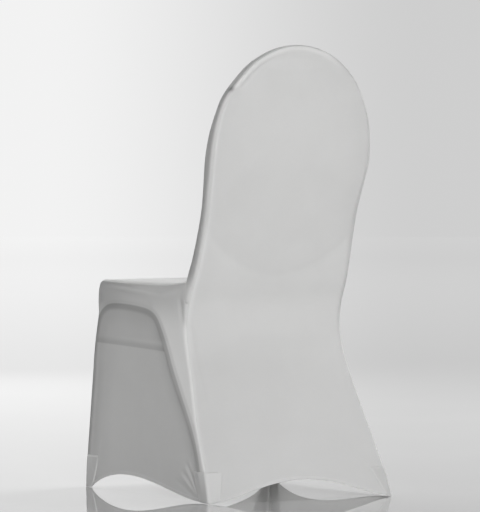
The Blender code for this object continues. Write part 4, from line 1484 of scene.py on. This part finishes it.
# Painted highlights along the seams on the rear panel's left: where each rises and ends, inset, width,
# amount
LEFT_SEAMS = (
    ((0.58, 0.64), (0.845, 0.856), 0.0042, 0.0022, 0.05),
    ((0.05, 0.09), (0.37, 0.40), 0.0015, 0.0030, 0.05),
)
# Faint painted highlight in an oval under the crown: x, height, half width, half height, edge, amount
OVAL = (0.008, 0.8985, 0.075, 0.0135, (0.75, 1.1), 0.015)
PAD_INSET = 0.02


def painted_light_of_rear(x, z, inset):
    """Painted light and shade of the rear panel: a painted highlight on the roll over the crown, partly its
    doubled seam allowance, painted shade in the pinch at the left shoulder, painted highlights along its
    left seams and a faint painted highlight in an oval.
    """
    glow = ROLL_GLOW * fade(*ROLL_GLOW_INSET, inset) * crown_share(x, z)
    glow = glow - NOTCH_SHADE * notch_share(x, z) * hump(inset - PINCH_INSET, PINCH_SHADE_WIDTH)
    for rise, end, seam_inset, width, amount in LEFT_SEAMS:
        glow = glow + amount * hump(inset - seam_inset, width) * window(rise, end, z) * (x > 0)
    middle_x, middle_z, half_width, half_height, edge, amount = OVAL
    from_middle = np.hypot((x - middle_x) / half_width, (z - middle_z) / half_height)
    return glow + amount * fade(*edge, from_middle)


def add_rear_panel():
    """The rear panel, from its arched hem over the back to the crown."""
    grid = rear_panel_grid()
    x, _, z = np.moveaxis(grid, -1, 0)
    inset = outline_distance(x, z)
    pad = pad_distance(x, z)
    fields = {"pad": np.where(inset < PAD_INSET, pad - PAD_INSET + inset, pad),
              "glow": painted_light_of_rear(x, z, inset)}
    add_panel("rear_panel", grid, (0, 1, 0), rear_relief(x, z, inset, pad), UPPER_SEAMS, fields,
              "rear_hem_stitches")


INNER_PAD_RISE = (0.012, 0.045)
INNER_PAD_INSET = 0.03


def add_inner_back():
    """The panel towards the sitter, swollen by the pad behind it."""
    grid = inner_back_grid()
    x, _, z = np.moveaxis(grid, -1, 0)
    inset = outline_distance(x, z)
    relief = creases_of(INNER_BACK_CREASES, x, z) + PAD_SWELL * step_between(*INNER_PAD_RISE, inset)
    add_panel("inner_back_panel", grid, (0, -1, 0), relief, ALL_SEAMS, {"pad": inset - INNER_PAD_INSET})


def painted_band_shade(z):
    """How dark the band is painted: partly the chair's frame seen through it, partly painted shade where it
    turns from the light.
    """
    share = band_shares()
    crown = step_between(*ROLL_END_HEIGHT, z)
    above_waist = step_between(*BAND_SHADE_START, z)
    shade = BAND_SHADE_LOW + (BAND_SHADE_CROWN - BAND_SHADE_LOW) * crown
    shade = shade * (step_between(*BAND_SHADE_ACROSS, share) * (1 - crown) + crown) * above_waist
    waist = step_between(*BAND_WAIST_START, z) * (1 - above_waist)
    return shade + BAND_SHADE_WAIST * waist * step_between(*BAND_WAIST_ACROSS, share)


def add_band():
    """The narrow band round the back's edge."""
    grid = band_grid()
    x, y, z = np.moveaxis(grid, -1, 0)
    left, right = [creases_of(table, y, z, REAR_FOOT_Y) for table in (LEFT_SIDE_CREASES, RIGHT_SIDE_CREASES)]
    pinched = notch_share(x, z) * fade(*BAND_PINCH_ACROSS, band_shares())
    relief = np.where(x > 0, left, right) * (z < BAND_WAIST_TOP) - BAND_PINCH * pinched
    # The band's glow is painted shade, with painted shade in the pinch at the shoulder
    add_panel("back_edge_band", grid, (0, 0, 1), relief, ("first", "last"),
              {"glow": -painted_band_shade(z) - NOTCH_SHADE * pinched})


# Painted light over the seat's top, and the distance to the pad behind it
SEAT_PAINTED_LIGHT = 0.14
SEAT_PAD = 0.02


def add_seat():
    """The seat's top."""
    grid = seat_panel_grid()
    relief = creases_of(SEAT_CREASES, grid[..., 0], grid[..., 1])
    add_panel("seat_panel", grid, (0, 0, 1), relief, ALL_SEAMS, {"pad": SEAT_PAD, "glow": SEAT_PAINTED_LIGHT})


FRONT_TUBE_INSET = 0.010


def add_front_panel():
    """The skirt in front of the seat, with the front legs dark at its sides."""
    grid = front_panel_grid()
    x, _, z = np.moveaxis(grid, -1, 0)
    tube = np.minimum(x[:, :1] - x, x - x[:, -1:]) - FRONT_TUBE_INSET
    add_panel("front_panel", grid, (0, -1, 0), creases_of(FRONT_CREASES, x, z), UPPER_SEAMS,
              {"tube": np.where(z < TUBE_TOP, tube, FAR)}, "front_hem_stitches")


# Painted light and shade of a side panel: the amount of each, and where it comes in or goes
SIDE_PAINTED_SHADE = -0.045
BEHIND_LEG_PAINTED_LIGHT = 0.18
OUTSIDE_TUBE = (0.011, 0.016)
BEHIND_LEG_TOP = (0.34, 0.42)
CORNER_PAINTED_SHADE = -0.19
CORNER_REACH = (0.0, 0.20)
CORNER_START = (0.385, 0.405)
BY_LEG_PAINTED_SHADE = -0.07
BY_LEG_REACH = (0.03, 0.12)
ABOVE_BRACE_PAINTED_SHADE = -0.05
ABOVE_BRACE_START = (0.318, 0.330)
LOW_PAINTED_LIGHT = 0.035
LOW_TOP = (0.08, 0.28)
# Painted highlight and shade of the folds of the side panels: how much lighter a fold is for each metre of
# its height, darker where it is a trough
FOLD_PAINTED_SHADING = 30.0


def painted_light_of_side(y, z, tube):
    """Painted light and shade of a side panel: painted highlights behind its leg and low down, painted shade
    at the seat's front corner, by the front leg, above the brace and over all.
    """
    outside = step_between(*OUTSIDE_TUBE, -tube)
    from_front = y - front_y(z)
    upper = step_between(*CORNER_START, z)
    return (BEHIND_LEG_PAINTED_LIGHT * outside * (y > leg_y(z)) * fade(*BEHIND_LEG_TOP, z)
            + CORNER_PAINTED_SHADE * fade(*CORNER_REACH, from_front) * upper
            + BY_LEG_PAINTED_SHADE * fade(*BY_LEG_REACH, from_front) * (1 - upper)
            + ABOVE_BRACE_PAINTED_SHADE * (1 - outside) * step_between(*ABOVE_BRACE_START, z)
            + LOW_PAINTED_LIGHT * fade(*LOW_TOP, z) + SIDE_PAINTED_SHADE)


def add_side_panel(name, sign, hem, table):
    """A side panel, which shows the bent tube and the brace behind it."""
    grid = side_panel_grid(sign, hem)
    _, y, z = np.moveaxis(grid, -1, 0)
    folds = creases_of(table, y, z, REAR_FOOT_Y)
    tube = tube_distance(y, z)
    fields = {"tube": tube, "brace": brace_distance(y, z),
              "glow": painted_light_of_side(y, z, tube) + folds * FOLD_PAINTED_SHADING}
    add_panel(name, grid, (sign, 0, 0), folds + uneven(y, z, SIDE_UNEVEN[sign]), UPPER_SEAMS, fields,
              name + "_hem_stitches")


def add_pocket(name):
    """A foot pocket with a row of stitches along its top."""
    grid = pocket_grid(name)
    outward = (1.0 if name.endswith("left") else -1.0, -1.0 if "front" in name else 1.0, POCKET_OUT_DOWN)
    low, _, first, last = border_gaps(grid)
    rim = np.minimum(low, np.minimum(first, last))
    relief = POCKET_RELIEF * step_between(0.0, POCKET_RELIEF_START, rim) - CLOTH_STANDOFF
    relief = relief - POCKET_RIM_DIP * np.exp(-rim / POCKET_RIM_DIP_WIDTH)
    over_all, at_rim = POCKET_GLOW[name]
    glow = over_all + at_rim * hump(rim - POCKET_GLOW_INSET, POCKET_GLOW_WIDTH)
    obj, surface, normals = dressed(name, grid, outward, relief, (), None, {"glow": glow})
    top = stitch_row(name + "_top_stitches", surface[1, 1:-1], normals[1, 1:-1], POCKET_CLOTH)
    finish_sheet(obj, name, (top,))


def add_cover(face, inside, thread):
    """Every panel, pocket and row of stitches, with its materials."""
    add_rear_panel()
    add_inner_back()
    add_band()
    add_seat()
    add_front_panel()
    add_side_panel("side_panel_left", 1.0, LEFT_HEM, LEFT_SIDE_CREASES)
    add_side_panel("side_panel_right", -1.0, RIGHT_HEM, RIGHT_SIDE_CREASES)
    for name in POCKETS:
        add_pocket(name)
    for obj in bpy.data.objects:
        if obj.name.endswith("_cloth"):
            obj.data.materials.append(face)
            obj.data.materials.append(inside)
        elif obj.name.endswith("_stitches"):
            obj.data.materials.append(thread)


add_camera()
add_cover(cloth_material("white_stretch_knit", FACE_SEE_THROUGH, 1.0),
          cloth_material("white_stretch_knit_inside", INSIDE_SEE_THROUGH, 0.0), thread_material())
add_stage()
add_world()
add_lights()
bpy.context.scene.view_settings.view_transform = "Standard"
